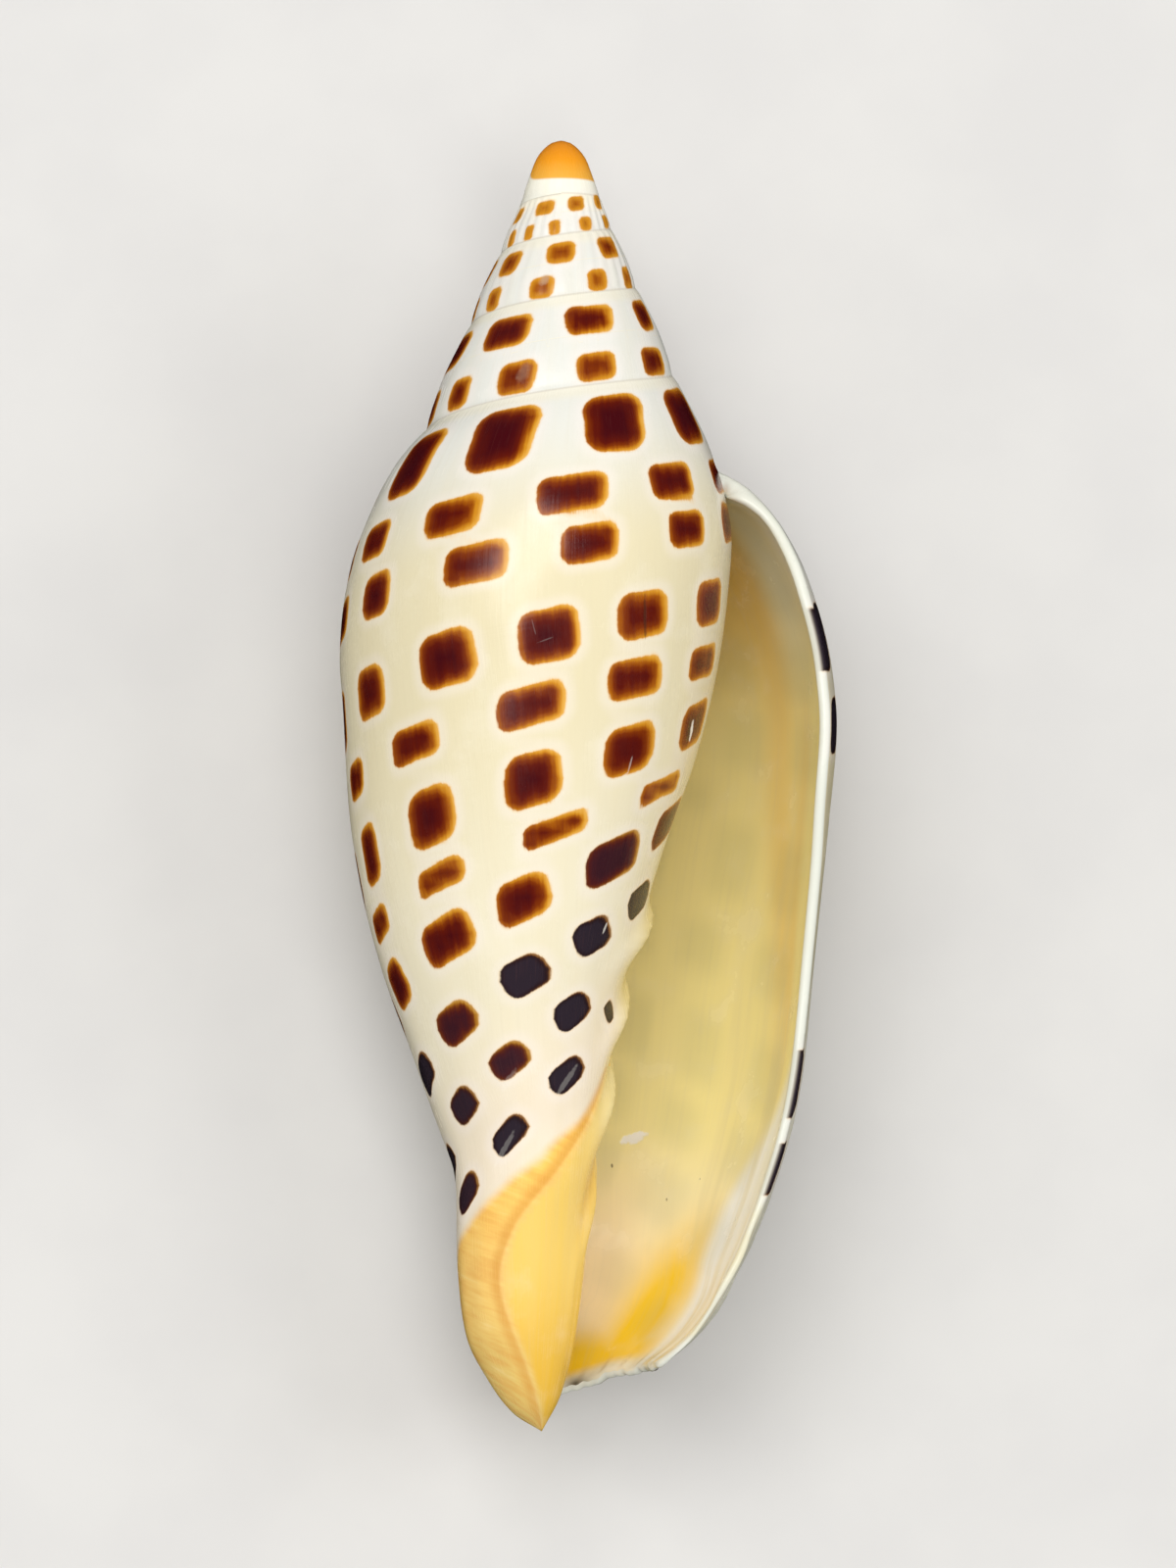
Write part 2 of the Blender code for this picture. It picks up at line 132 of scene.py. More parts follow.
FASCIOLE_EDGE = (  # (depth, turn) of the crease between the fasciole and the bare columella
    (0.72, 0.91), (0.7578, 0.833), (0.799, 0.75), (0.8515, 0.651), (0.8865, 0.625), (0.9337, 0.655),
    (1, 0.72),
)
CREASE_TOP = 0.715  # depth below which there is a crease
CREASE_BEFORE, CREASE_AFTER = 0.05, 0.2  # turns on either side of the crease that it is spread over

# The four folds of the columella: level, height, and width as a share of the level.
FOLDS = ((0.944, 0.0165, 0.022), (1.036, 0.015, 0.022), (1.136, 0.0135, 0.022), (1.249, 0.0075, 0.025))
FOLDS_START, FOLDS_FULL = 0.80, 0.97
LEAST_LEVEL = 0.016  # keeps a fold's logarithm finite at the apex

# The smooth dome of the first whorls (depth, radius), and the depths over which the whorls show below it.
APEX_DOME = (
    (0, 0), (0.0015, 0.0062), (0.005, 0.0115), (0.0137, 0.0187), (0.029, 0.0247), (0.044, 0.0298),
    (0.06, 0.0352), (0.08, 0.0435),
)
DOME_ONLY, NO_DOME = 0.04, 0.075

# How finely the surface is divided.
COLUMNS = 240  # to a turn
DEEP_STEP = 4  # columns taken at a time deep in the hollow
BAND_ROWS = 14  # across a spire whorl
RIM_ROWS = 8  # round the edge of the lip
BODY_ROWS = 100  # from the aperture's upper corner to the tip
BODY_CROWDING = 1.25  # over 1, the rows crowd toward the tip
DOME_ROWS = 12
DOME_CROWDING = 1.7  # the same toward the apex
NUDGE = 0.004  # depth to each side over which a slope is measured
WALL_NUDGE = 0.001
FAR = 20  # millimetres that stand for too far to matter

# Rows of spots on the body: level, half height as a level, and the turns where they stand.
ROW_DRIFT = 0.17  # how fast the lower rows close up on the first one with each turn
FIRST_ROW, LISTED_AT = 0.35, 0.2  # the first row's level, and the turn at which a row has its listed level
LOWER_ROWS = (0.80, 0.88)  # levels over which the spots become those of the lowest rows
THIN_ROW = 0.814
SPOT_ROWS = (
    (0.355, 0.038, (0.05, 0.15, 0.22, 0.32, 0.40, 0.49, 0.585, 0.69, 0.81, 0.93)),
    (0.436, 0.020, (0.04, 0.12, 0.195, 0.28, 0.36, 0.415, 0.50, 0.565, 0.655, 0.76, 0.865, 0.97)),
    (0.497, 0.022, (0.03, 0.105, 0.17, 0.245, 0.32, 0.38, 0.44, 0.51, 0.58, 0.68, 0.775, 0.875, 0.965)),
    (0.595, 0.028, (0.04, 0.11, 0.175, 0.25, 0.32, 0.395, 0.445, 0.50, 0.57, 0.655, 0.74, 0.825, 0.915)),
    (0.669, 0.0208, (0.05, 0.135, 0.20, 0.285, 0.37, 0.42, 0.48, 0.535, 0.62, 0.725, 0.82, 0.915)),
    (0.751, 0.028, (0.04, 0.125, 0.19, 0.275, 0.36, 0.415, 0.49, 0.545, 0.63, 0.725, 0.82, 0.92)),
    (THIN_ROW, 0.014, (0.05, 0.135, 0.21, 0.295, 0.38, 0.46, 0.535, 0.63, 0.745, 0.875)),
    (0.877, 0.0235, (0.05, 0.135, 0.21, 0.295, 0.39, 0.47, 0.535, 0.625, 0.71, 0.815, 0.925)),
    (0.957, 0.0192, (0.01, 0.09, 0.17, 0.245, 0.34, 0.44, 0.52, 0.61, 0.705, 0.795, 0.89)),
    (1.030, 0.0188, (0.125, 0.213, 0.305, 0.405, 0.49, 0.585, 0.672, 0.77)),
    (1.100, 0.0172, (0.225, 0.34, 0.44, 0.555, 0.655, 0.763)),
)
# The spire shows two rows to a whorl: level, half height, and the turns where the spots stand.
SPIRE_ROWS = (
    (0.356, 0.0275, (
        1.06, 1.19, 1.30, 1.43, 1.54, 1.66, 1.80, 1.93, 2.03, 2.13, 2.25, 2.38, 2.52, 2.62, 2.75, 2.89, 3.05,
        3.21, 3.34, 3.47, 3.57, 3.69, 3.81, 3.93, 4.05,
    )),
    (0.434, 0.025, (
        1.07, 1.17, 1.26, 1.34, 1.43, 1.52, 1.60, 1.69, 1.80, 1.91, 2.03, 2.15, 2.26, 2.35, 2.45, 2.52, 2.60,
        2.71, 2.83, 2.93, 3.05, 3.16, 3.27, 3.38, 3.47, 3.58, 3.65, 3.73, 3.83, 3.94, 4.08, 4.21, 4.33, 4.46,
    )),
)
# Spots that stand alone, such as those on the turned-out lip: turn, level, half width, half height, tone.
LONE_SPOTS = (
    (-0.035, 0.408, 0.014, 0.026, 1.0), (-0.030, 0.476, 0.014, 0.022, 1.0),
    (-0.024, 0.750, 0.010, 0.026, 1.0), (-0.026, 0.815, 0.010, 0.02, 1.0),
    (0.3015, 0.497, 0.006, 0.012, 0.0), (0.862, 0.998, 0.014, 0.016, 0.95),
    (0.149, 0.550, 0.010, 0.0085, 0.85), (0.250, 0.5463, 0.0175, 0.0085, 0.6),
)
SPOT_SEED = 7
SPOT_COVER = 0.29  # half width of a spot, against the space to its neighbours
WIDEST_SPOT = 2.9  # half width, in millimetres
SPOT_SQUARED = 0.85  # how nearly the lower spots' sides stand square to their row
SPOT_ALONG = 0.95  # how much a squared spot is drawn out along its row: less is longer
SPOT_ROUND, LOWER_ROUNDER = 0.62, 0.08  # corner radius, against the smaller half size
SPOT_REACH = (0.13, 0.12)  # turns and levels from a spot's middle within which it is drawn
NO_SPOT = -6.0  # millimetres inside a spot, where there is none
LEAST_ROUND = 1e-6  # millimetres, so that nothing is divided by the tip's own radius
SHADE_DRIFT = 0.10  # how far a spot's core is drawn toward its newer side

# Relief, in millimetres: how far a whorl's upper edge stands over the older whorl and the groove above it,
# then the swells, the riblets of the first whorls, and the ridges and steps before the lip.
SUTURE_STEP, SUTURE_GROOVE = 0.16, 0.10
SWELL, RIBLET, LIP_RIDGE, LIP_STEP = 0.035, 0.03, 0.10, 0.16
RIBLETS = 34  # to a turn of the first whorls
SUTURE_FADES = 4.4  # turn at which the suture can no longer be made out
DRAWN_ON_OVER = 0.05  # depth over which a whorl's top is drawn on to the older whorl

# Healed breaks of the lip (level, turn), with their depth in millimetres.
SCARS = (
    (0.34, (
        (0.33, 0.372), (0.39, 0.378), (0.445, 0.398), (0.487, 0.389), (0.53, 0.394), (0.58, 0.41),
        (0.625, 0.429), (0.66, 0.42), (0.718, 0.404), (0.762, 0.399), (0.78, 0.388),
    )),
    (0.24, ((0.55, 0.414), (0.617, 0.433), (0.675, 0.425), (0.723, 0.436), (0.775, 0.434), (0.83, 0.427))),
    (0.10, (
        (0.46, 0.155), (0.54, 0.161), (0.62, 0.172), (0.67, 0.177), (0.735, 0.173), (0.84, 0.184),
        (0.95, 0.206),
    )),
    (0.06, ((0.40, 0.307), (0.46, 0.306), (0.52, 0.309), (0.56, 0.306))),
)
NO_SCAR = 9.0  # millimetres from a scar, where there is none
SCAR_FADES = (0.7, 1.7)  # millimetres to each side over which it fades out
BREAK_HALF, BREAK_TAIL = 0.35, 2.2  # half width of the step in it, and how far the lifted edges run out

# Small flaws on one side of the wall: turn, level, half length and half width in millimetres, how far the
# long way is turned from the growth lines in degrees, kind, and strength.
FLAWS = (
    (0.914, 0.707, 0.95, 0.26, -8, "white", 0.9), (0.908, 0.707, 0.95, 0.20, -8, "dark", 0.8),
    (0.821, 0.726, 0.7, 0.08, 12, "white", 0.25), (0.816, 0.735, 0.4, 0.08, 70, "white", 0.25),
    (0.728, 0.562, 0.7, 0.05, -10, "white", 0.07), (0.738, 0.577, 0.7, 0.05, 80, "white", 0.07),
    (0.826, 0.570, 1.9, 0.14, 0, "dark", 0.55), (0.814, 0.894, 0.4, 0.12, 15, "white", 0.5),
    (0.643, 1.052, 1.2, 0.30, 55, "white", 0.11), (0.667, 0.995, 0.9, 0.30, 60, "white", 0.10),
    (0.762, 1.033, 1.0, 0.32, 55, "white", 0.12),
    (2.715, 0.418, 0.5, 0.42, 20, "worn", 0.75), (1.700, 0.428, 0.9, 0.6, 5, "worn", 0.3),
    (0.284, 0.438, 1.5, 2.1, 0, "worn", 0.75), (0.276, 0.440, 0.8, 0.22, 12, "dark", 0.55),
    (0.291, 0.437, 0.7, 0.16, 20, "dark", 0.35), (0.300, 1.069, 1.1, 0.12, 40, "white", 0.5),
    (0.306, 1.062, 1.0, 0.09, 40, "white", 0.4), (0.245, 0.670, 0.8, 0.07, 10, "white", 0.4),
)
# The same within the hollow, on the outer wall: way in from the lip, depth, and so on.
HOLLOW_FLAWS = (
    (0.195, 0.765, 1.30, 0.42, -58, "white", 1.0), (0.212, 0.787, 0.16, 0.10, 0, "dark", 0.7),
    (0.150, 0.815, 0.13, 0.10, 0, "dark", 0.6), (0.120, 0.800, 0.10, 0.08, 0, "dark", 0.4),
)

RAGGED = 2.4  # how much the specks eat into a flaw's edge
FLAW_EDGE, FLAW_CORE, WORN_CORE = 2.5, 1.7, 1.1  # squared distance where a flaw starts, and where it is full
FLAW_CUT = 0.03  # how deep a flaw is scratched into the glaze, in millimetres

CAP_EDGE = 0.033  # depth at which the orange cap of the apex stops
CAP_BITE = 2.4  # millimetres that it is worn back on the left of the back
FASCIOLE_LEVEL = 1.087  # where the orange of the fasciole starts


def smooth(low, high, x):
    """0 below low, 1 above high, and an even S between."""
    t = np.clip((x - low) / (high - low), 0, 1)
    return t * t * (3 - 2 * t)


def hump(x, centre, width):
    """A bell with height 1 at its centre."""
    return np.exp(-(((x - centre) / width) ** 2))


def curve(x, points):
    """A cubic through the points that never overshoots them. Past the ends it keeps the end values."""
    px, py = np.array(points, float).T
    step = np.diff(px)
    slope = np.diff(py) / step
    product = slope[1:] * slope[:-1]
    total = np.where(product > 0, slope[1:] + slope[:-1], 1)
    grade = np.concatenate([slope[:1], np.where(product > 0, 2 * product / total, 0), slope[-1:]])
    x = np.clip(x, px[0], px[-1])
    k = np.clip(np.searchsorted(px, x) - 1, 0, len(step) - 1)
    t = (x - px[k]) / step[k]
    ends = (1 + 2 * t) * (1 - t) ** 2 * py[k] + t**2 * (3 - 2 * t) * py[k + 1]
    grades = t * (1 - t) ** 2 * grade[k] + t**2 * (t - 1) * grade[k + 1]
    return ends + step[k] * grades


def grown(turn):
    """Size of the shell when it was growing at this turn, against its size at turn 0: it falls by the same
    factor with every turn."""
    return WHORL_GROWTH ** -np.asarray(turn, float)


def level_of(turn, depth):
    """The depth from the growth centre, over the size there."""
    return (depth - GROWTH_CENTRE) / grown(turn)


def suture_depth(turn):
    """Upper edge of the whorl. It runs level round the apex dome, where the oldest whorl ends."""
    depth = GROWTH_CENTRE + grown(turn) * curve(turn, SUTURE)
    return np.maximum(depth, GROWTH_CENTRE + grown(SPIRE_TURNS - 1) * SUTURE[-1][1])


def end_depth(turn):
    """Lower end of the whorl: the edge of the notch, then the tip."""
    return curve(turn, NOTCH_EDGE)


def chipped(turn, depth):
    """The depth with the edge of the notch broken back a little: waves of three lengths along the edge,
    which die out a short way above it."""
    chips = np.sin(70 * turn) + 0.8 * np.sin(151 * turn + 1) + 0.6 * np.sin(283 * turn + 2)
    here = NOTCH_CHIPS * smooth(-0.05, -0.02, turn) * (1 - smooth(0.27, 0.34, turn))
    near_edge = smooth(end_depth(turn) - CHIPPED_OVER, end_depth(turn), depth)
    return depth - here * (1.2 + 0.5 * chips) * near_edge


def base_share(turn, depth, foot_depth):
    """Share of the foot's radius left on the base: the four base outlines, weighed by turn and depth."""
    share = np.clip((depth - foot_depth) / (end_depth(turn) - foot_depth), 0, 1)
    back = smooth(BACK_TO, BACK_FROM, turn)
    tip = smooth(TIP_STARTS, NOTCH_ENDS_AT, turn)
    edge = curve(depth, FASCIOLE_EDGE)
    bare = tip * smooth(edge - CREASE_BEFORE, edge + CREASE_AFTER, turn)
    lip_part = curve(share, LIP_BASE) * (1 - back) + curve(share, BACK_BASE) * (back - tip)
    return lip_part + curve(share, FASCIOLE) * (tip - bare) + curve(share, COLUMELLA) * bare


def plain_radius(turn, depth):
    """Radius from the outlines: the lip's turns into the left side's and then the older whorls'. The dome
    replaces it near the apex, and each fold adds a bell-shaped ridge at its own level."""
    turn, depth = np.broadcast_arrays(np.asarray(turn, float), np.asarray(depth, float))
    size = grown(turn)
    level = level_of(turn, depth)
    left = smooth(-0.05, 0.5, turn)
    old = smooth(0.5, 1, turn)
    lip = (1 - left) * (1 - LIP_FLARE * smooth(FLARE_TO, FLARE_FROM, turn))
    top = curve(turn, SUTURE)
    foot = curve(turn, FOOT)
    share = np.clip((level - top) / (foot - top), -0.1, 1)
    body = 0
    for outline, weight in ((LIP_OUTLINE, lip), (LEFT_OUTLINE, left - old), (OLD_OUTLINE, old)):
        start, end = outline[0][0], outline[-1][0]
        body = body + weight * curve(start + share * (end - start), outline)
    radius_here = size * body * base_share(turn, depth, GROWTH_CENTRE + size * foot)
    dome = 1 - smooth(DOME_ONLY, NO_DOME, depth)
    radius_here = radius_here * (1 - dome) + curve(depth, APEX_DOME) * dome
    for fold_level, height, width in FOLDS:
        ridge = np.exp(-((np.log(np.maximum(level, LEAST_LEVEL) / fold_level) / width) ** 2))
        radius_here = radius_here + smooth(FOLDS_START, FOLDS_FULL, turn) * size * height * ridge
    return radius_here


def radius(turn, depth):
    """Outer surface, with the top of each whorl drawn on to the whorl before it."""
    top = suture_depth(turn)
    miss = plain_radius(np.asarray(turn) + 1, top) - plain_radius(turn, top)
    below = (depth - top) / (DRAWN_ON_OVER * grown(turn))
    return plain_radius(turn, depth) + miss * np.clip(1 - below, 0, 1) ** 2


def slope_of(turn, depth, nudge):
    """How fast the outer surface widens with depth, from the radius a nudge above and below."""
    return (radius(turn, depth + nudge) - radius(turn, depth - nudge)) / (2 * nudge)


def growth_time(turn, depth):
    """The turn at which the lip's edge stood here: the turn, less the lean of the lip at this share of the
    way from the suture to the end of a whole body whorl. The lean was smaller when the shell was younger."""
    share = (level_of(turn, depth) - SUTURE[-1][1]) / (1 - SUTURE[-1][1])
    upright = smooth(0, LEAN_SETTLES_BY, turn)
    return turn - curve(share, LIP_LEAN) * (1 + (LEAN_LEFT - 1) * upright)


def scar_fields(turn, level):
    """(millimetres to the nearest scar, how deep that scar is here). The distance is positive on the older
    side. A scar fades out at both its ends and a little way to each side."""
    across = 2 * np.pi * MM * radius(turn, GROWTH_CENTRE + level * grown(turn))
    nearest, depth_here = np.full(turn.shape, NO_SCAR), np.zeros(turn.shape)
    for depth_mm, line in SCARS:
        first, last = line[0][0], line[-1][0]
        away = (turn - curve(level, line)) * across
        here = smooth(first - 0.02, first + 0.01, level) * (1 - smooth(last - 0.03, last + 0.02, level))
        closer = (np.abs(away) < np.abs(nearest)) & (here > 0)
        nearest = np.where(closer, away, nearest)
        local = 1 - smooth(*SCAR_FADES, np.abs(away))
        depth_here = np.where(closer, here * local * depth_mm, depth_here)
    return nearest, depth_here


def relief(turn, depth):
    """Height in millimetres that the surface stands over its plain form: even swells along the growth
    lines, riblets on the first whorls, ridges before the lip, and the broken edges of the scars."""
    time, level = growth_time(turn, depth), level_of(turn, depth)
    swell = np.sin(41 * time + 1.3 * np.sin(7 * time)) + 0.6 * np.sin(97 * time + 2 * np.sin(11 * level))
    height = SWELL * swell * grown(turn)
    first_whorls = smooth(2.3, 3.0, turn) * (1 - smooth(4.35, 4.6, turn)) * smooth(CAP_EDGE, 0.06, depth)
    height = height + RIBLET * first_whorls * np.sin(2 * np.pi * RIBLETS * time)
    lip_side = (1 - smooth(0.02, 0.13, time)) * smooth(0.55, 0.85, level)
    ridges = np.sin(150 * time + 1.5 * np.sin(9 * level)) + 0.7 * np.sin(331 * time)
    height = height + LIP_RIDGE * lip_side * ridges + LIP_STEP * lip_side * np.sin(62 * time)
    nearest, depth_here = scar_fields(turn, level)
    stands = smooth(-BREAK_HALF, BREAK_HALF, nearest) - 0.5
    height = height + depth_here * stands * np.exp(-np.abs(nearest) / BREAK_TAIL)
    below = (depth - suture_depth(turn)) / grown(turn)
    above = np.where(turn > COVERED_FROM, (suture_depth(turn - 1) - depth) / grown(turn), 1)
    height = height * smooth(0, 0.012, below) * (1 - smooth(0.9, 1, depth))
    step = smooth(0, 0.006, below) * (1 - smooth(0.006, 0.04, below))
    groove = smooth(0, 0.002, above) * (1 - smooth(0.004, 0.022, above))
    still_seen = grown(turn) * (1 - smooth(3.8, SUTURE_FADES, turn))
    return height + still_seen * (SUTURE_STEP * step - SUTURE_GROOVE * groove)


def placed(turn, depth, radius_here):
    """Points in metres: x to the right, y to the apex, z to the front."""
    turn, depth, radius_here = np.broadcast_arrays(turn, depth, radius_here)
    angle = -2 * np.pi * turn
    bend = np.clip((depth - BEND_STARTS) / (1 - BEND_STARTS), 0, None) ** 2
    x = radius_here * np.cos(angle) + TIP_LEFT * bend
    z = radius_here * np.sin(angle) + TIP_BACK * bend
    return LENGTH * np.stack([x, -depth, z], axis=-1)


def outside(turn, depth):
    """The outer surface at its radius, with the relief added."""
    turn, depth = np.broadcast_arrays(np.asarray(turn, float), np.asarray(depth, float))
    return placed(turn, depth, radius(turn, depth) + relief(turn, depth) / MM)


def inner_wall(turn, column_turn, depth, corner, foot, open_end):
    """Inner side of the outer wall. It stands off the columella by what the wall leaves, and shuts down to
    it at the upper corner and, where the end isn't open, at the foot of the hollow."""
    slope = np.clip(slope_of(turn, depth, WALL_NUDGE), -2, 2)
    wall = WALL * grown(column_turn) ** WALL_GROWTH * (1 - (1 - WALL_AT_TIP) * smooth(0.8, 1, depth))
    wall = wall * (WALL_AT_LIP + (1 - WALL_AT_LIP) * smooth(0, LIP_THINS_OVER, column_turn - LIP_TOP))
    middle = radius(column_turn + 1, depth)
    gap = radius(turn, depth) - wall * np.hypot(1, slope) - middle
    gap = (gap + np.hypot(gap, NARROWEST_GAP)) / 2
    share = (depth - corner) / (foot - corner)
    near_top = np.clip(share / CORNER_ROUND, 0, 1)
    near_foot = np.clip((1 - share) / FOOT_ROUND, 0, 1)
    shut = 1 - np.sqrt(near_foot * (2 - near_foot))
    return middle + gap * np.sqrt(near_top * (2 - near_top)) * (1 - shut * (1 - open_end))


OUTSIDE, INSIDE, MIDDLE, RIM = 0, 1, 2, 3  # the sides of the wall, as the notes name them


def notes_for(side, turn, depth, share=0.0):
    """A grid of notes, one to each point: side, turn, depth, and the share of the way in or across."""
    return np.stack([*np.broadcast_arrays(float(side), turn, depth, share)], axis=-1)


def cells(grid, turned):
    """Corners of the two triangles in each cell of a grid."""
    a, b, c, d = grid[:-1, :-1], grid[1:, :-1], grid[1:, 1:], grid[:-1, 1:]
    corners = np.stack([np.stack([a, b, c], axis=2), np.stack([a, c, d], axis=2)])
    corners = corners.reshape(-1, 3, *grid.shape[2:])
    return corners[:, ::-1] if turned else corners


class Skin:
    """Points and triangles of one surface, gathered a grid at a time, with notes on each triangle's corners.
    Two triangles that share a point may hold unlike notes, as on the two sides of a suture."""

    def __init__(self):
        self.points = np.empty((0, 3))
        self.faces, self.notes = [], []

    def add(self, points):
        """Adds a grid of points and gives back the grid of their numbers."""
        first = len(self.points)
        self.points = np.concatenate([self.points, points.reshape(-1, 3)])
        return np.arange(first, len(self.points)).reshape(points.shape[:-1])

    def cover(self, numbers, notes, turned=False):
        """Two triangles to each cell of a grid of point numbers."""
        self.faces.append(cells(numbers, turned))
        self.notes.append(cells(notes, turned))

    def join(self, one, two, one_at, two_at, one_notes, two_notes):
        """Triangles between two edges with unlike numbers of points, each stepped on in its own order."""
        beside_one = np.searchsorted(two_at[1:], one_at[1:], side="left")
        beside_two = np.searchsorted(one_at[1:], two_at[1:], side="right")
        for kept, first, second in ((self.faces, one, two), (self.notes, one_notes, two_notes)):
            kept.append(np.stack([second[beside_one], first[1:], first[:-1]], axis=1))
            kept.append(np.stack([second[:-1], second[1:], first[beside_two]], axis=1))

    def whole(self):
        """The triangles and notes, without those that a pole or a shared corner has closed to a line."""
        faces, notes = np.concatenate(self.faces), np.concatenate(self.notes)
        kept = (faces != np.roll(faces, 1, axis=1)).all(axis=1)
        return faces[kept], notes[kept]


def unit(vectors):
    """Vectors divided by their lengths."""
    return vectors / (np.linalg.norm(vectors, axis=-1, keepdims=True) + 1e-12)


def rim_arcs(outer, inner, ahead):
    """Half circles from the outer edge to the inner edge, bulging ahead, without their two ends."""
    middle, half = (outer + inner) / 2, (outer - inner) / 2
    across = unit(half)
    ahead = unit(ahead - across * (ahead * across).sum(axis=-1, keepdims=True))
    reach = ahead * np.linalg.norm(half, axis=-1, keepdims=True)
    angles = np.pi * np.arange(1, RIM_ROWS) / RIM_ROWS
    return [middle + half * np.cos(angle) + reach * np.sin(angle) for angle in angles]


def shell_skin():
    """The whole surface of the shell: points in shell coordinates, triangles, and their corners' notes.
    Each side of the wall is a grid over turn and depth, and the grids share the points where they meet."""
    skin = Skin()
    tip = skin.add(placed(0, 1, 0)[None])[0]
    apex = skin.add(placed(0, 0, 0)[None])[0]
    notch_column = round((NOTCH_ENDS_AT - LIP_TOP) * COLUMNS)
    last_column = round((SPIRE_TURNS - LIP_TOP) * COLUMNS)
    column_turn = LIP_TOP + np.arange(last_column + 1) / COLUMNS

    # Upper inner corner of the hollow, and the rows of a full column: spire band, rim, then the body.
    seen = round(HOLLOW_SEEN * COLUMNS)
    deep = np.arange(seen + DEEP_STEP, round(HOLLOW_TURNS * COLUMNS) + 1, DEEP_STEP)
    hollow = LIP_TOP + np.concatenate([np.arange(seen + 1), deep]) / COLUMNS
    drop = CORNER_AT_LIP + (CORNER_INSIDE - CORNER_AT_LIP) * smooth(0, 0.5, hollow)
    corner = suture_depth(hollow) + drop * grown(hollow)
    column_top = suture_depth(LIP_TOP + 1)
    band_share = (suture_depth(LIP_TOP) - column_top) / (1 - column_top)
    corner_share = (corner[0] - column_top) / (1 - column_top)
    body_share = 1 - (1 - np.linspace(0, 1, BODY_ROWS + 1)) ** BODY_CROWDING
    rows = np.concatenate([
        np.linspace(0, band_share, BAND_ROWS + 1)[:-1],
        np.linspace(band_share, corner_share, RIM_ROWS + 1)[:-1],
        corner_share + (1 - corner_share) * body_share,
    ])

    # Outside of the last whorl, from the lip round to where the lip joins.
    turn = column_turn[: COLUMNS + 1, None]
    lean = 1 - smooth(0, LEAN_FADES_BY, turn - LIP_TOP)
    depth = suture_depth(turn) + rows * (end_depth(turn) - suture_depth(turn))
    turn = turn + curve(rows, LIP_LEAN) * lean
    depth = chipped(turn, depth)
    whorl = skin.add(outside(turn, depth))
    whorl[notch_column:, -1] = tip
    whorl[COLUMNS, BAND_ROWS] = whorl[0, 0]
    whorl_notes = notes_for(OUTSIDE, turn, depth)
    skin.cover(whorl, whorl_notes, turned=True)

    # Spire: a band whose lower edge is the upper edge of the whorl below, ending on the dome's ring.
    turn = column_turn[COLUMNS:, None]
    share = np.linspace(0, 1, BAND_ROWS + 1)
    depth = suture_depth(turn) * (1 - share) + suture_depth(turn - 1) * share
    band = skin.add(outside(turn[1:], depth[1:, :-1]))
    upper = np.concatenate([whorl[:, 0], band[:, 0]])
    band = np.column_stack([np.vstack([whorl[COLUMNS, :BAND_ROWS], band]), upper[: len(band) + 1]])
    band[-1] = band[-1, -1]
    skin.cover(band, notes_for(OUTSIDE, turn, depth), turned=True)

    # Dome of the apex.
    ring = slice(last_column - COLUMNS, last_column)
    turn = np.append(column_turn[ring], column_turn[last_column])
    depth = suture_depth(SPIRE_TURNS) * (1 - np.arange(DOME_ROWS + 1)[:, None] / DOME_ROWS) ** DOME_CROWDING
    dome = skin.add(placed(turn[:-1], depth[1:-1], curve(depth[1:-1], APEX_DOME)))
    dome = np.vstack([upper[ring], dome, np.full(COLUMNS, apex)])
    skin.cover(np.column_stack([dome, dome[:, 0]]), notes_for(OUTSIDE, turn, depth), turned=True)

    # Parietal wall and columella inside the aperture, from the column where the lip joins.
    past_notch = np.clip(hollow - NOTCH_ENDS_AT, 0, None)
    foot = GROWTH_CENTRE + (1 - GROWTH_CENTRE) * grown(HOLLOW_FOOT_RISE * past_notch)
    depth = corner[:, None] + body_share * (foot - corner)[:, None]
    turn = hollow[:, None] + 1
    middle = skin.add(outside(turn, depth))
    middle[0] = whorl[COLUMNS, BAND_ROWS + RIM_ROWS :]
    middle[: notch_column + 1, -1] = tip
    middle_notes = notes_for(MIDDLE, turn, depth, hollow[:, None] - LIP_TOP)
    skin.cover(middle, middle_notes, turned=True)

    # Inner side of the outer wall.
    is_open = np.arange(len(hollow)) < notch_column
    foot = np.where(is_open, end_depth(hollow), foot)
    depth = corner[:, None] + body_share * (foot - corner)[:, None]
    top, end = suture_depth(hollow)[:, None], end_depth(hollow)[:, None]
    lean = 1 - smooth(0, LEAN_FADES_BY, hollow[:, None] - LIP_TOP)
    turn = hollow[:, None] + curve((depth - top) / (end - top), LIP_LEAN) * lean
    open_end = 1 - smooth(-0.02, 0.05, hollow - NOTCH_ENDS_AT)[:, None]
    wall = inner_wall(turn, hollow[:, None], depth, corner[:, None], foot[:, None], open_end)
    depth = chipped(turn, depth)
    inside = skin.add(placed(turn, depth, wall))
    inside[:, 0] = middle[:, 0]
    inside[notch_column:, -1] = middle[notch_column:, -1]
    inside_notes = notes_for(INSIDE, turn, depth, hollow[:, None] - LIP_TOP)
    skin.cover(inside, inside_notes)
    last = np.column_stack([inside[-1], middle[-1]]).reshape(-1, 2)
    skin.cover(last, np.stack([inside_notes[-1], middle_notes[-1]], axis=1), turned=True)

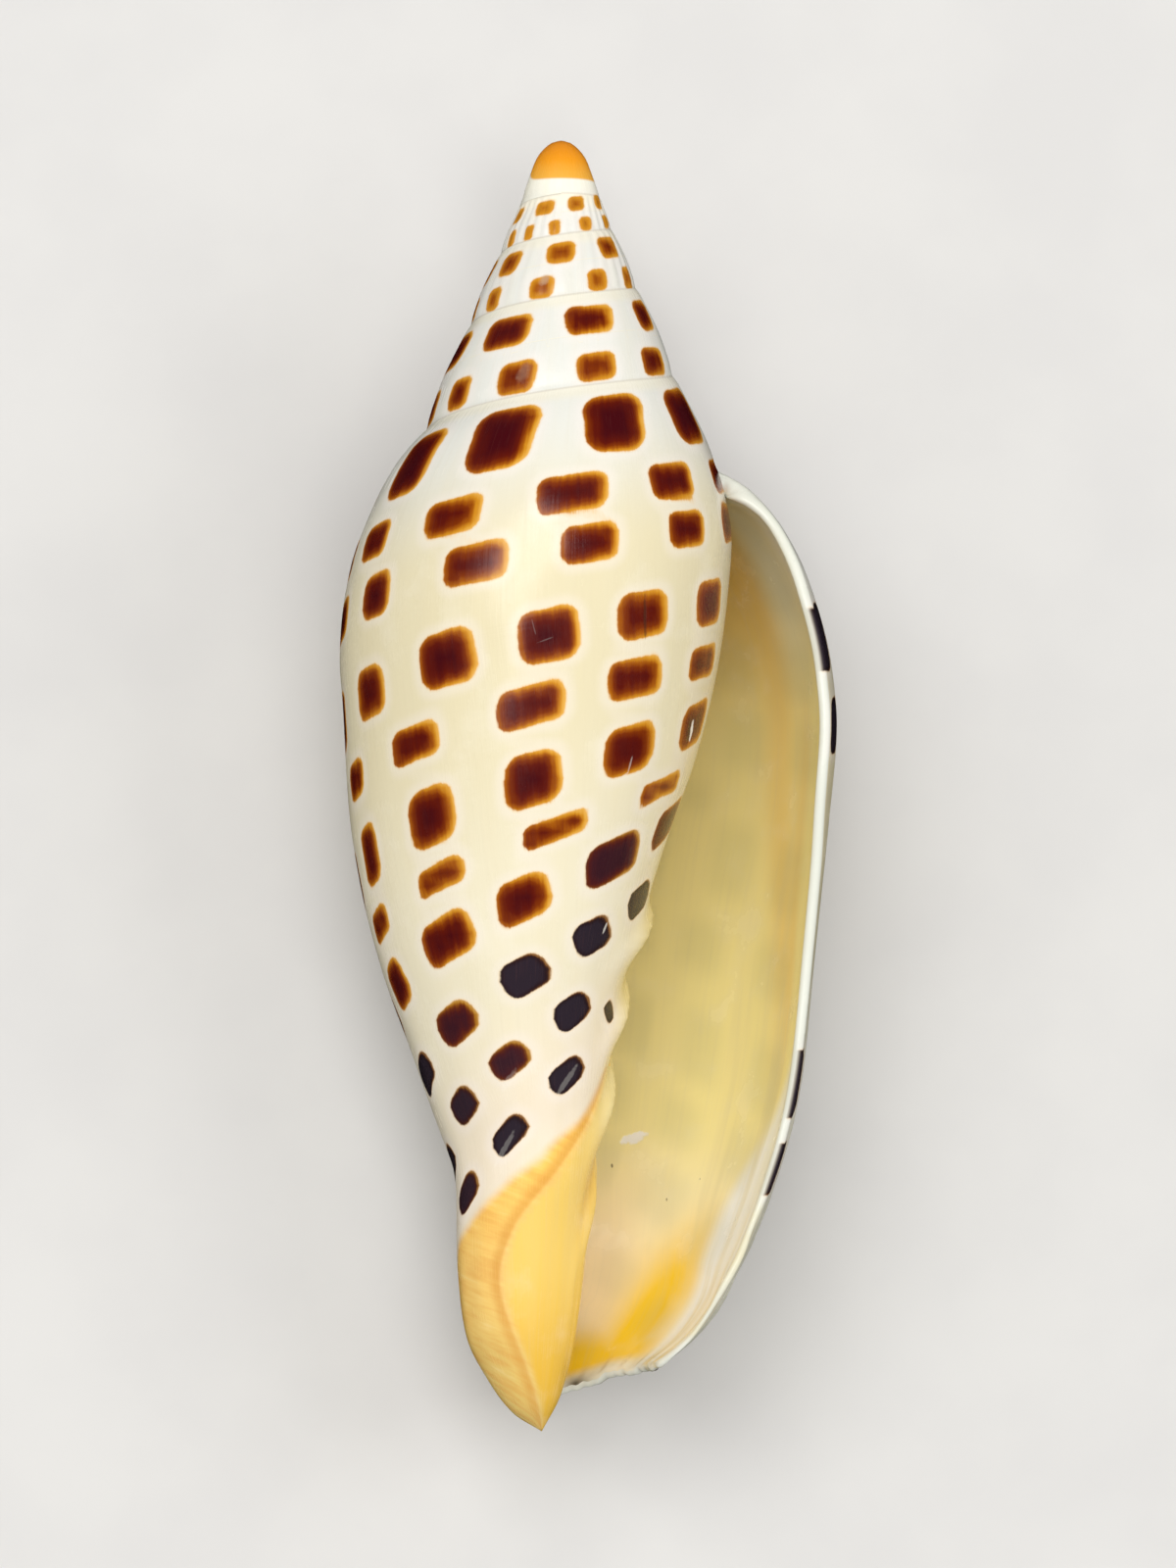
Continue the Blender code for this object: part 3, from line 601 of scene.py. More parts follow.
    # Rounded rim down the lip and along the notch.
    lip_outer, lip_inner = skin.points[whorl[0]], skin.points[inside[0]]
    steps = np.arange(len(lip_inner))
    at = np.interp(-lip_outer[:, 1], -lip_inner[:, 1], steps)
    lip_inner = np.stack([np.interp(at, steps, lip_inner[:, axis]) for axis in range(3)], axis=-1)
    lip_ahead = unit(lip_outer - skin.points[whorl[1]])
    notch = slice(0, notch_column + 1)
    notch_outer = skin.points[whorl[notch, -1]]
    notch_ahead = unit(notch_outer - skin.points[whorl[notch, -2]])
    both = unit(lip_ahead[-1] + notch_ahead[0])
    lip_ahead += (both - lip_ahead) * smooth(0.93, 1, rows)[:, None]
    notch_ahead += (both - notch_ahead) * (1 - smooth(0, 0.06, hollow[notch] - LIP_TOP))[:, None]
    lip_rim, notch_rim = [whorl[0]], [whorl[notch, -1]]
    for points in rim_arcs(lip_outer, lip_inner, lip_ahead):
        lip_rim.append(skin.add(points))
        lip_rim[-1][0] = whorl[COLUMNS, BAND_ROWS + len(lip_rim) - 1]
    for number, points in enumerate(rim_arcs(notch_outer, skin.points[inside[notch, -1]], notch_ahead), 1):
        notch_rim.append(skin.add(points))
        notch_rim[-1][0] = lip_rim[number][-1]
        notch_rim[-1][-1] = tip
    notch_rim.append(inside[notch, -1])
    across = np.arange(RIM_ROWS + 1) / RIM_ROWS
    lip_notes = notes_for(RIM, whorl_notes[0, :, 1], whorl_notes[0, :, 2], across[:-1, None])
    skin.cover(np.stack(lip_rim), lip_notes)
    notch_notes = notes_for(RIM, whorl_notes[notch, -1, 1, None], whorl_notes[notch, -1, 2, None], across)
    skin.cover(np.column_stack(notch_rim), notch_notes, turned=True)
    rim_end = notes_for(RIM, inside_notes[0, :, 1], inside_notes[0, :, 2], 1.0)
    skin.join(
        lip_rim[-1], inside[0], np.arange(len(rows)), np.interp(steps, at, np.arange(len(rows))),
        lip_notes[-1], rim_end,
    )
    return skin.points, *skin.whole()


def resting_turn():
    """The rotation from shell coordinates to the resting pose: rolled to the left, then the apex raised."""
    tilt, roll = np.radians(APEX_UP_DEGREES), np.radians(ROLL_DEGREES)
    rolled = np.array([[np.cos(roll), 0, -np.sin(roll)], [0, 1, 0], [np.sin(roll), 0, np.cos(roll)]])
    tilted = np.array([[1, 0, 0], [0, np.cos(tilt), -np.sin(tilt)], [0, np.sin(tilt), np.cos(tilt)]])
    return tilted @ rolled


def resting_shift(points):
    """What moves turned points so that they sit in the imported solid's box, on its small worn flat."""
    low, high = (np.array(corner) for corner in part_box("shell"))
    middle = (points.min(axis=0) + points.max(axis=0)) / 2
    shift = (low + high) / 2 - middle
    shift[2] = low[2] - points[:, 2].min() - WORN_FLAT
    return shift


def row_line(level, turns_on):
    """Level of a row so many turns back along it: each row below the first closes up on it evenly."""
    return level - ROW_DRIFT * (level - FIRST_ROW) * turns_on


def all_spots():
    """Every spot as (turn, level, half width in turns, half height as a level, tone). A spot's width follows
    from the space to its neighbours, a little less on the spire and more low down. Tone is 0 for amber, 0.5
    for red-brown and 1 for blue-black: it rises down the shell, by the lip, on the lower back and low beside
    the aperture, falls on the left and on the spire, and strays a little from spot to spot."""
    draw = np.random.default_rng(SPOT_SEED)
    spots = []
    for number, (row_level, half_height, turns) in enumerate(SPOT_ROWS + SPIRE_ROWS):
        on_spire = number >= len(SPOT_ROWS)
        turns = np.array(turns)
        gaps = np.diff(turns)
        left, right = np.append(gaps[:1], gaps), np.append(gaps, gaps[-1:])
        room = np.minimum(2 * np.minimum(left, right), (left + right)) / 2
        for turn, space in zip(turns, room):
            level = row_level if on_spire else row_line(row_level, turn - LISTED_AT)
            widen, heighten, stray, lift = draw.uniform(-1, 1, 4)
            low = smooth(0.80, 0.98, row_level)
            thin = hump(row_level, THIN_ROW, 0.01)
            share = SPOT_COVER * (1 - 0.16 * smooth(1.8, 3.5, turn) + 0.07 * widen - 0.12 * thin)
            share = share * (1 + 0.2 * smooth(0.82, 0.88, row_level))
            height = half_height * (0.95 + 0.08 * heighten + 0.06 * smooth(1.8, 2.8, turn))
            height = height * (1 + 0.3 * thin * (1 - smooth(0.4, 0.55, turn)))
            tone = 0.56 + 0.3 * low + 0.3 * (1 - smooth(0.05, 0.22, turn))
            tone = tone + 0.24 * smooth(0.55, 0.75, row_level) * (1 - smooth(0.4, 0.55, turn))
            tone = tone - 0.14 * smooth(0.45, 0.62, turn) * smooth(0.36, 0.45, row_level) * (1 - low)
            tone = tone + 0.2 * smooth(0.66, 0.78, turn) * smooth(*LOWER_ROWS, row_level) * (turn < 1)
            tone = tone - 0.08 * smooth(1.0, 1.3, turn) - 0.26 * smooth(1.9, 3.3, turn) + 0.12 * stray
            spots.append((turn, level + 0.0015 * lift, space * share, height, np.clip(tone, 0, 1)))
    return spots + list(LONE_SPOTS)


def rounded_box(x, y, half_x, half_y, corner):
    """How far inside a box with rounded corners a point is: negative outside."""
    past_x, past_y = np.abs(x) - half_x + corner, np.abs(y) - half_y + corner
    outside_by = np.hypot(np.maximum(past_x, 0), np.maximum(past_y, 0))
    return corner - outside_by - np.minimum(np.maximum(past_x, past_y), 0)


def spot_fields(turn, depth):
    """(millimetres inside the nearest spot's edge, the same drawn toward the newer side, tone). Each spot is
    a rounded box whose sides follow the growth lines, or stand square to the row low down, and whose top and
    bottom follow the row. A scar cuts off the part of a spot that lies across it."""
    round_mm = 2 * np.pi * MM * radius(turn, depth)
    stretch = np.hypot(1, np.clip(slope_of(turn, depth, NUDGE), -1.5, 1.5))
    down_mm = MM * grown(turn) * stretch
    time, level = growth_time(turn, depth), level_of(turn, depth)
    best = np.full(turn.shape, NO_SPOT)
    shade, tone = best.copy(), np.full(turn.shape, 0.5)
    for spot_turn, spot_level, half_wide, half_high, spot_tone in all_spots():
        near = (np.abs(turn - spot_turn) < SPOT_REACH[0]) & (np.abs(level - spot_level) < SPOT_REACH[1])
        spot_depth = GROWTH_CENTRE + spot_level * grown(spot_turn)
        x = (time[near] - growth_time(spot_turn, spot_depth)) * round_mm[near]
        row_level = spot_level
        if spot_turn < 1:
            row_level = row_line(spot_level, turn[near] - spot_turn)
        y = (level[near] - row_level) * down_mm[near]
        lower = smooth(*LOWER_ROWS, spot_level)
        squared = SPOT_SQUARED * lower * (0 < spot_turn < 1)
        if squared > 0:
            across = (turn[near] - spot_turn) * round_mm[near]
            down = (depth[near] - spot_depth) * MM * stretch[near]
            fall = np.log(WHORL_GROWTH) * spot_level + ROW_DRIFT * (spot_level - FIRST_ROW)
            tilt = -fall * np.median(down_mm[near] / np.maximum(round_mm[near], LEAST_ROUND))
            x = x + squared * (SPOT_ALONG * (across + tilt * down) / np.hypot(1, tilt) - x)
        half_x = min(half_wide * np.median(round_mm[near]), WIDEST_SPOT)
        half_y = half_high * np.median(down_mm[near])
        corner = (SPOT_ROUND + LOWER_ROUNDER * lower) * min(half_x, half_y)
        inside = rounded_box(x, y, half_x, half_y, corner)
        for _, line in SCARS:
            if line[0][0] - 0.01 < spot_level < line[-1][0] + 0.01:
                side = np.sign(spot_turn - curve(spot_level, line))
                away = side * (turn[near] - curve(level[near], line)) * round_mm[near]
                inside = np.minimum(inside, 3 * away)
        closer = inside > best[near]
        best[near] = np.where(closer, inside, best[near])
        shade[near] = np.where(closer, inside - SHADE_DRIFT * x, shade[near])
        tone[near] = np.where(closer, spot_tone, tone[near])
    return best, shade, tone


def linear(red, green, blue):
    """A colour, 0 to 255, as scene light."""
    share = np.array([red, green, blue]) / 255
    return np.where(share <= 0.04045, share / 12.92, ((share + 0.055) / 1.055) ** 2.4)


CREAM = linear(228, 217, 181)
LOW_CREAM = linear(237, 228, 199)
PINKISH = linear(241, 227, 203)
SPIRE_WHITE = linear(229, 229, 221)
UNDER_CAP = linear(250, 247, 230)
CAP_ORANGE = linear(240, 155, 24)
CAP_PALE = linear(240, 176, 66)
FASCIOLE_ORANGE = linear(255, 204, 100)
FASCIOLE_LOW = linear(250, 206, 116)
FASCIOLE_TIP = linear(238, 204, 116)
# Partly the crease's own brown, partly painted shade in the crease.
CREASE_BROWN_AND_SHADE = linear(216, 150, 62)
COLUMELLA_YELLOW = linear(246, 208, 106)
COLUMELLA_LOW = linear(240, 190, 62)
# Painted golden shadow under the third fold.
FOLD_GOLD_SHADOW = linear(228, 178, 74)
FOLD_PALE = linear(238, 222, 164)
PARIETAL = linear(232, 212, 146)
LIP_WHITE = linear(228, 230, 218)
INNER_YELLOW = linear(255, 240, 164)
INNER_KHAKI = linear(255, 241, 170)
INNER_OCHRE = linear(250, 210, 118)
# Partly the wall's own ochre-brown, partly painted shade deep in the upper corner.
INNER_BROWN_SHADE = linear(214, 168, 66)
INNER_PEACH = linear(255, 232, 184)
INNER_CREAM = linear(255, 242, 196)
STRONG_YELLOW = linear(254, 208, 34)
SMUDGE = linear(52, 46, 30)
MARGIN_WHITE = linear(253, 255, 251)
BACK_WHITE = linear(241, 237, 222)
SHOULDER_GREY = linear(232, 228, 206)
GROWTH_BUFF = linear(232, 214, 168)
THREAD_GREY = linear(214, 200, 170)
MOTTLE_WHITE = linear(255, 250, 240)
HALO_WHITE = linear(246, 236, 230)
RIDGE_YELLOW = linear(228, 214, 160)
SUTURE_CREAM = linear(248, 238, 205)
# Painted shadow in the suture's groove.
SUTURE_SHADOW = linear(186, 168, 134)
STRIA_ORANGE = linear(230, 160, 70)
STRIA_PALE = linear(254, 226, 160)
WORN_BROWN = linear(132, 78, 66)
AMBER_EDGE = linear(240, 190, 110)
SEEN_THROUGH = linear(120, 130, 100)
# The scars' pale edge, partly a painted highlight, and the painted shadow line beside it.
SCAR_CREAM_AND_HIGHLIGHT = linear(248, 236, 190)
SCAR_SHADOW_BROWN = linear(128, 92, 54)
CAP_TOP = linear(232, 142, 24)
FLAW_COLOURS = {"white": linear(250, 246, 236), "dark": linear(70, 44, 30), "worn": linear(184, 150, 122)}
# A spot's colours from its edge (0) to its core (1), where it is brown and where it is blue-black.
BROWN_SPOT = (
    (0, linear(228, 172, 76)), (0.06, linear(206, 138, 30)), (0.15, linear(162, 86, 8)),
    (0.28, linear(124, 48, 4)), (0.52, linear(94, 21, 8)), (1, linear(68, 9, 16)),
)
BLACK_SPOT = (
    (0, linear(140, 96, 52)), (0.14, linear(66, 38, 28)), (0.4, linear(40, 26, 30)), (1, linear(46, 37, 46)),
)


def toward(colour, other, amount):
    """Each colour moved toward the other by its own amount."""
    return colour + (other - colour) * np.asarray(amount)[..., None]


def layered(colour, *layers):
    """The colour moved toward each layer's own colour by that layer's amount, one after the other."""
    for other, amount in layers:
        colour = toward(colour, other, amount)
    return colour


def outer_colour(turn, depth, level):
    """Ground of the outer surface, without the cap and the fasciole: white on the spire, cream on the body,
    and pinkish toward the base."""
    on_back = smooth(0.0, 0.12, turn) * (1 - smooth(0.42, 0.58, turn))
    by_lip = (1 - smooth(0.0, 0.25, turn)) * smooth(0.5, 0.8, level)
    return layered(
        SPIRE_WHITE,
        (CREAM, smooth(0.33, 0.5, level) * (1 - smooth(0.9, 1.1, turn))),
        (LOW_CREAM, smooth(0.62, 0.85, level)),
        (PINKISH, smooth(0.9, 1.05, level) * smooth(0.3, 0.5, turn)),
        (UNDER_CAP, 1 - smooth(0.03, 0.075, depth)),
        (BACK_WHITE, 0.6 * on_back * smooth(0.32, 0.42, level)),
        (LIP_WHITE, 0.6 * by_lip),
    )


def middle_colour(turn, depth, level, way_in):
    """Parietal wall, folds and bare columella: khaki inside, pale along the folds, a painted golden shadow
    under the third, yellow on the columella."""
    raised = smooth(FOLDS_START, FOLDS_FULL, turn)
    return layered(
        PARIETAL,
        (COLUMELLA_YELLOW, smooth(0.72, 0.8, depth)),
        (COLUMELLA_LOW, smooth(0.86, 0.97, depth)),
        *((FOLD_PALE, raised * hump(level, fold_level, 0.026)) for fold_level, _, _ in FOLDS[:3]),
        # Painted golden shadow under the third fold.
        (FOLD_GOLD_SHADOW, 0.8 * smooth(0.8, 0.9, turn) * hump(level, 1.195, 0.035)),
        (INNER_OCHRE, 0.5 * smooth(0.1, 0.4, way_in)),
    )


def inner_colour(turn, depth, way_in):
    """Inside of the outer wall: white at the lip, grey-white on its upper shoulder, brown-ochre at the upper
    corner, partly its own ochre and partly painted shade deep in that corner, with two ochre streaks running
    down from it, yellow down the middle and khaki farther in, then cream and peach, with a strong yellow
    band across the lower end."""
    lower, low = smooth(0.45, 0.7, depth), smooth(0.74, 0.86, depth)
    broad_streak = hump(way_in, 0.105 - 0.05 * lower, 0.018) * (1 - smooth(0.6, 0.78, depth))
    fine_streak = hump(way_in, 0.075 - 0.03 * lower, 0.008) * smooth(0.38, 0.5, depth)
    # Painted shade, over the wall's own ochre, deep in the upper corner.
    brown = smooth(0.065, 0.13, way_in) * (1 - smooth(0.32, 0.47, depth))
    band = hump(way_in, 0.120 + 0.5 * (depth - 0.86), 0.042) * smooth(0.80, 0.90, depth)
    band = np.maximum(1.15 * band, smooth(0.905, 0.935, depth) * smooth(0.07, 0.13, way_in))
    shoulder = (1 - smooth(0.33, 0.46, depth)) * (1 - smooth(0.07, 0.115, way_in))
    margin = 0.006 + 0.03 * (1 - smooth(0.33, 0.45, depth)) + 0.075 * smooth(0.68, 0.86, depth)
    ends = end_depth(np.clip(turn, -0.1, NOTCH_ENDS_AT))
    smudge = hump(way_in, 0.205, 0.022) * hump(depth, 0.962, 0.007)
    return layered(
        INNER_KHAKI,
        (INNER_YELLOW, smooth(0.24, 0.12, way_in) * smooth(0.35, 0.6, depth)),
        (INNER_OCHRE, 0.6 * broad_streak),
        (INNER_OCHRE, 0.5 * fine_streak * (1 - smooth(0.66, 0.78, depth))),
        (INNER_BROWN_SHADE, 0.75 * brown),
        (INNER_CREAM, low * smooth(0.28, 0.14, way_in)),
        (INNER_PEACH, low * smooth(0.13, 0.21, way_in)),
        (STRONG_YELLOW, np.clip(band, 0, 1)),
        (SHOULDER_GREY, 0.85 * shoulder),
        (MARGIN_WHITE, smooth(margin + 0.018, margin - 0.010, way_in)),
        (LIP_WHITE, 0.8 * smooth(ends - 0.016, ends - 0.006, depth) * (way_in < 0.3)),
        (SMUDGE, 0.9 * np.clip(1.3 * smudge, 0, 1)),
    )


def ground_colour(side, turn, depth, way_in):
    """The ground's colour at every corner, by the side of the wall it is on."""
    level = level_of(turn, depth)
    middle = middle_colour(turn, depth, level, way_in)
    bare = smooth(-0.6, 0.6, crease_distance(turn, depth)) * (side == OUTSIDE)
    folded = smooth(0.86, 0.97, turn) * smooth(0.90, 0.93, level) * (side == OUTSIDE)
    colour = layered(outer_colour(turn, depth, level), (middle, bare), (middle, folded))
    inner = inner_colour(turn, depth, way_in)
    for here, other in ((MIDDLE, middle), (INSIDE, inner), (RIM, LIP_WHITE)):
        colour = np.where((side == here)[..., None], other, colour)
    return colour


def crease_distance(turn, depth):
    """Millimetres past the crease between the fasciole and the bare columella, positive on the columella.
    The step in turns is divided by its steepness."""
    away = turn - curve(depth, FASCIOLE_EDGE)
    lean = (curve(depth + NUDGE, FASCIOLE_EDGE) - curve(depth - NUDGE, FASCIOLE_EDGE)) / (2 * NUDGE)
    per_turn = 2 * np.pi * MM * np.maximum(radius(turn, depth), 0.02)
    distance = away / np.hypot(1 / per_turn, lean / MM)
    return np.where(depth > CREASE_TOP, np.clip(distance, -FAR, FAR), -FAR)


def fasciole_distance(turn, depth):
    """Millimetres below the line where the orange of the fasciole starts."""
    return (level_of(turn, depth) - FASCIOLE_LEVEL) * MM * grown(turn)


def suture_distance(turn, depth):
    """Millimetres below the suture that bounds this whorl above, or, as a negative number, above the one
    that bounds it below, whichever is nearer."""
    below = (depth - suture_depth(turn)) * MM
    above = np.where(turn > COVERED_FROM, (suture_depth(turn - 1) - depth) * MM, FAR)
    return np.where(below < above, below, -above)


def skin_mesh(name, points, faces):
    """A smooth-shaded mesh of triangles."""
    mesh = bpy.data.meshes.new(name)
    mesh.vertices.add(len(points))
    mesh.loops.add(3 * len(faces))
    mesh.polygons.add(len(faces))
    mesh.vertices.foreach_set("co", points.astype(np.float32).ravel())
    mesh.loops.foreach_set("vertex_index", faces.astype(np.int32).ravel())
    mesh.polygons.foreach_set("loop_start", np.arange(0, 3 * len(faces), 3, dtype=np.int32))
    mesh.update(calc_edges=True)
    mesh.validate()
    mesh.shade_smooth()
    return mesh


def finish_notes(side, turn, depth, way_in):
    """What the finish reads at every triangle's corner, by name. Distances are in millimetres.

    growth: the time at which the lip stood here, the level, and the depth.
    spot: how far inside a spot, the same drawn toward its newer side, and its tone.
    scar: how far from a scar, and how deep that scar is.
    edges: how far past the fasciole's edge, the crease, and the edge of the cap.
    wall: 1 inside the hollow and 0 outside, and how far below a suture.
    ground: the colour under the spots.
    """
    outer, level = side == OUTSIDE, level_of(turn, depth)
    inside, shade, tone = spot_fields(turn, depth)
    past_fasciole = fasciole_distance(turn, depth)
    most = np.where(turn < 2, 1.2 - past_fasciole, -NO_SPOT)  # no spot reaches the fasciole
    most = np.where((side == MIDDLE) & (way_in > 0.02), NO_SPOT, most)  # nor the wall within the aperture
    past_cap = (CAP_EDGE - depth) * MM - CAP_BITE * hump(turn % 1, 0.43, 0.09)
    covered = np.where(side == INSIDE, 1, np.where(side == RIM, smooth(0.2, 0.6, way_in), 0))
    sutured, nothing = outer & (turn < SUTURE_FADES), 0 * turn
    notes = {
        "growth": (growth_time(turn, depth), level, depth),
        "spot": (np.minimum(inside, most), np.minimum(shade, most), tone),
        "scar": (*scar_fields(turn, level), nothing),
        "edges": (
            np.where(outer & (turn < 1.2), past_fasciole, -FAR),
            np.where(outer, crease_distance(turn, depth), -FAR),
            np.where(outer, past_cap, -FAR),
        ),
        "wall": (covered, np.where(sutured, suture_distance(turn, depth), FAR), nothing),
        "ground": (*ground_colour(side, turn, depth, way_in).T, nothing + 1),
    }
    return {name: np.stack(values, axis=-1) for name, values in notes.items()}


def shell_mesh():
    """The shell in its resting pose, with the notes that its finish reads."""
    points, faces, notes = shell_skin()
    points = points @ resting_turn().T
    points = points + resting_shift(points)
    points[:, 2] = np.maximum(points[:, 2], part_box("shell")[0][2])
    mesh = skin_mesh("shell", points, faces)
    for name, values in finish_notes(*notes.reshape(-1, 4).T).items():
        kind, field = ("FLOAT_COLOR", "color") if name == "ground" else ("FLOAT_VECTOR", "vector")
        attribute = mesh.attributes.new(name, kind, "CORNER")
        attribute.data.foreach_set(field, np.ascontiguousarray(values, np.float32).ravel())
    return mesh


class Reading:
    """A number, colour or vector of a finish, worked out at every place. A sum written with it adds the
    nodes that do the sum."""

    def __init__(self, finish, socket):
        self.finish, self.socket = finish, socket

    def __mul__(self, other):
        return self.finish.maths("MULTIPLY", self, other)

    def __add__(self, other):
        return self.finish.maths("ADD", self, other)

    def __sub__(self, other):
        return self.finish.maths("SUBTRACT", self, other)

    def __rsub__(self, other):
        return self.finish.maths("SUBTRACT", other, self)

    __rmul__, __radd__ = __mul__, __add__


class Finish:
    """A material under construction. Each method adds one node and gives back what comes out of it."""

    def __init__(self, name):
        self.material = bpy.data.materials.new(name)
        self.material.use_nodes = True
        self.tree = self.material.node_tree
        self.shader = self.tree.nodes["Principled BSDF"]

    def feed(self, socket, value):
        """Links a reading to the socket, or sets the socket to a plain number or colour."""
        if isinstance(value, Reading):
            self.tree.links.new(value.socket, socket)
        else:
            socket.default_value = (*value, 1) if hasattr(value, "__len__") else value

    def node(self, kind, inputs, output=0, **settings):
        """A node of this kind with its settings, fed at the inputs that are given by number or name."""
        node = self.tree.nodes.new("ShaderNode" + kind)
        for name, value in settings.items():
            setattr(node, name, value)
        for name, value in inputs.items():
            self.feed(node.inputs[name], value)
        return Reading(self, node.outputs[output])

    def noted(self, name):
        """The three numbers of a stored note."""
        vector = self.node("Attribute", {}, "Vector", attribute_name=name)
        split = self.tree.nodes.new("ShaderNodeSeparateXYZ")
        self.feed(split.inputs[0], vector)
        return tuple(Reading(self, output) for output in split.outputs)

    def noted_colour(self, name):
        """The colour of a stored note."""
        return self.node("Attribute", {}, "Color", attribute_name=name)

    def place(self):
        """The place in the piece's own metres."""
        return self.node("TexCoord", {}, "Object")

    def maths(self, what, a, b):
        """One operation on two numbers."""
        return self.node("Math", {0: a, 1: b}, operation=what)

    def ease(self, value, low, high, start=0.0, end=1.0):
        """An even S from start to end as the value goes from low to high."""
        inputs = dict(enumerate((value, low, high, start, end)))
        return self.node("MapRange", inputs, interpolation_type="SMOOTHSTEP")

    def joined(self, x, y):
        """A flat vector of two numbers."""
        return self.node("CombineXYZ", {0: x, 1: y})

    def noise(self, vector, scale=1.0, detail=2.0, roughness=0.5):
        """Cloudy noise from 0 to 1, mostly near a half."""
        inputs = {"Vector": vector, "Scale": scale, "Detail": detail, "Roughness": roughness}
        return self.node("TexNoise", inputs, "Fac")

    def mix(self, amount, a, b):
        """Colour a, moved toward b by the amount."""
        return self.node("Mix", {0: amount, 6: a, 7: b}, 2, data_type="RGBA")

    def ramp(self, value, *stops):
        """Colours by place along 0 to 1."""
        node = self.tree.nodes.new("ShaderNodeValToRGB")
        while len(node.color_ramp.elements) < len(stops):
            node.color_ramp.elements.new(0.5)
        for element, (at, colour) in zip(node.color_ramp.elements, stops):
            element.position = at
            element.color = (*colour, 1)
        self.feed(node.inputs[0], value)
        return Reading(self, node.outputs[0])

    def bump(self, height, distance):
        """A normal tilted by the slope of the height."""
        return self.node("Bump", {"Height": height, "Distance": distance, "Strength": 1.0})


def flaw_places():
    """Each flaw as (growth time, level, millimetres to one unit of each, 1 if in the hollow, shape)."""
    places = [(turn, GROWTH_CENTRE + level * grown(turn), 0.0, shape) for turn, level, *shape in FLAWS]
    for way_in, depth, *shape in HOLLOW_FLAWS:
        top = suture_depth(LIP_TOP + way_in)
        lean = 1 - smooth(0, LEAN_FADES_BY, way_in)
        turn = LIP_TOP + way_in + curve((depth - top) / (1 - top), LIP_LEAN) * lean
        places.append((turn, depth, 1.0, shape))
    for turn, depth, in_hollow, shape in places:
        per_time = 2 * np.pi * MM * float(radius(turn, depth))
        time, level = float(growth_time(turn, depth)), float(level_of(turn, depth))
        yield time, level, per_time, MM * float(grown(turn)), in_hollow, shape


def flawed(finish, colour, time, level, covered, specks):
    """The colour with every small flaw laid over it: a turned ellipse with a ragged edge. It also gives back
    how far the flaws cut into the surface."""
    cut = 0.0
    for at_time, at_level, per_time, per_level, in_hollow, shape in flaw_places():
        half_long, half_wide, turned, kind, strength = shape
        x, y = per_time * (time - at_time), per_level * (level - at_level)
        cos, sin = float(np.cos(np.radians(turned))), float(np.sin(np.radians(turned)))
        wide = (cos / half_wide) * x + (sin / half_wide) * y
        long = (cos / half_long) * y - (sin / half_long) * x
        away = wide * wide + long * long + RAGGED * specks
        here = finish.ease(away, FLAW_EDGE, WORN_CORE if kind == "worn" else FLAW_CORE)
        amount = strength * here * (covered if in_hollow else 1 - covered)
        colour = finish.mix(amount, colour, FLAW_COLOURS[kind])
        if kind != "worn":
            cut = cut - FLAW_CUT * amount
    return colour, cut


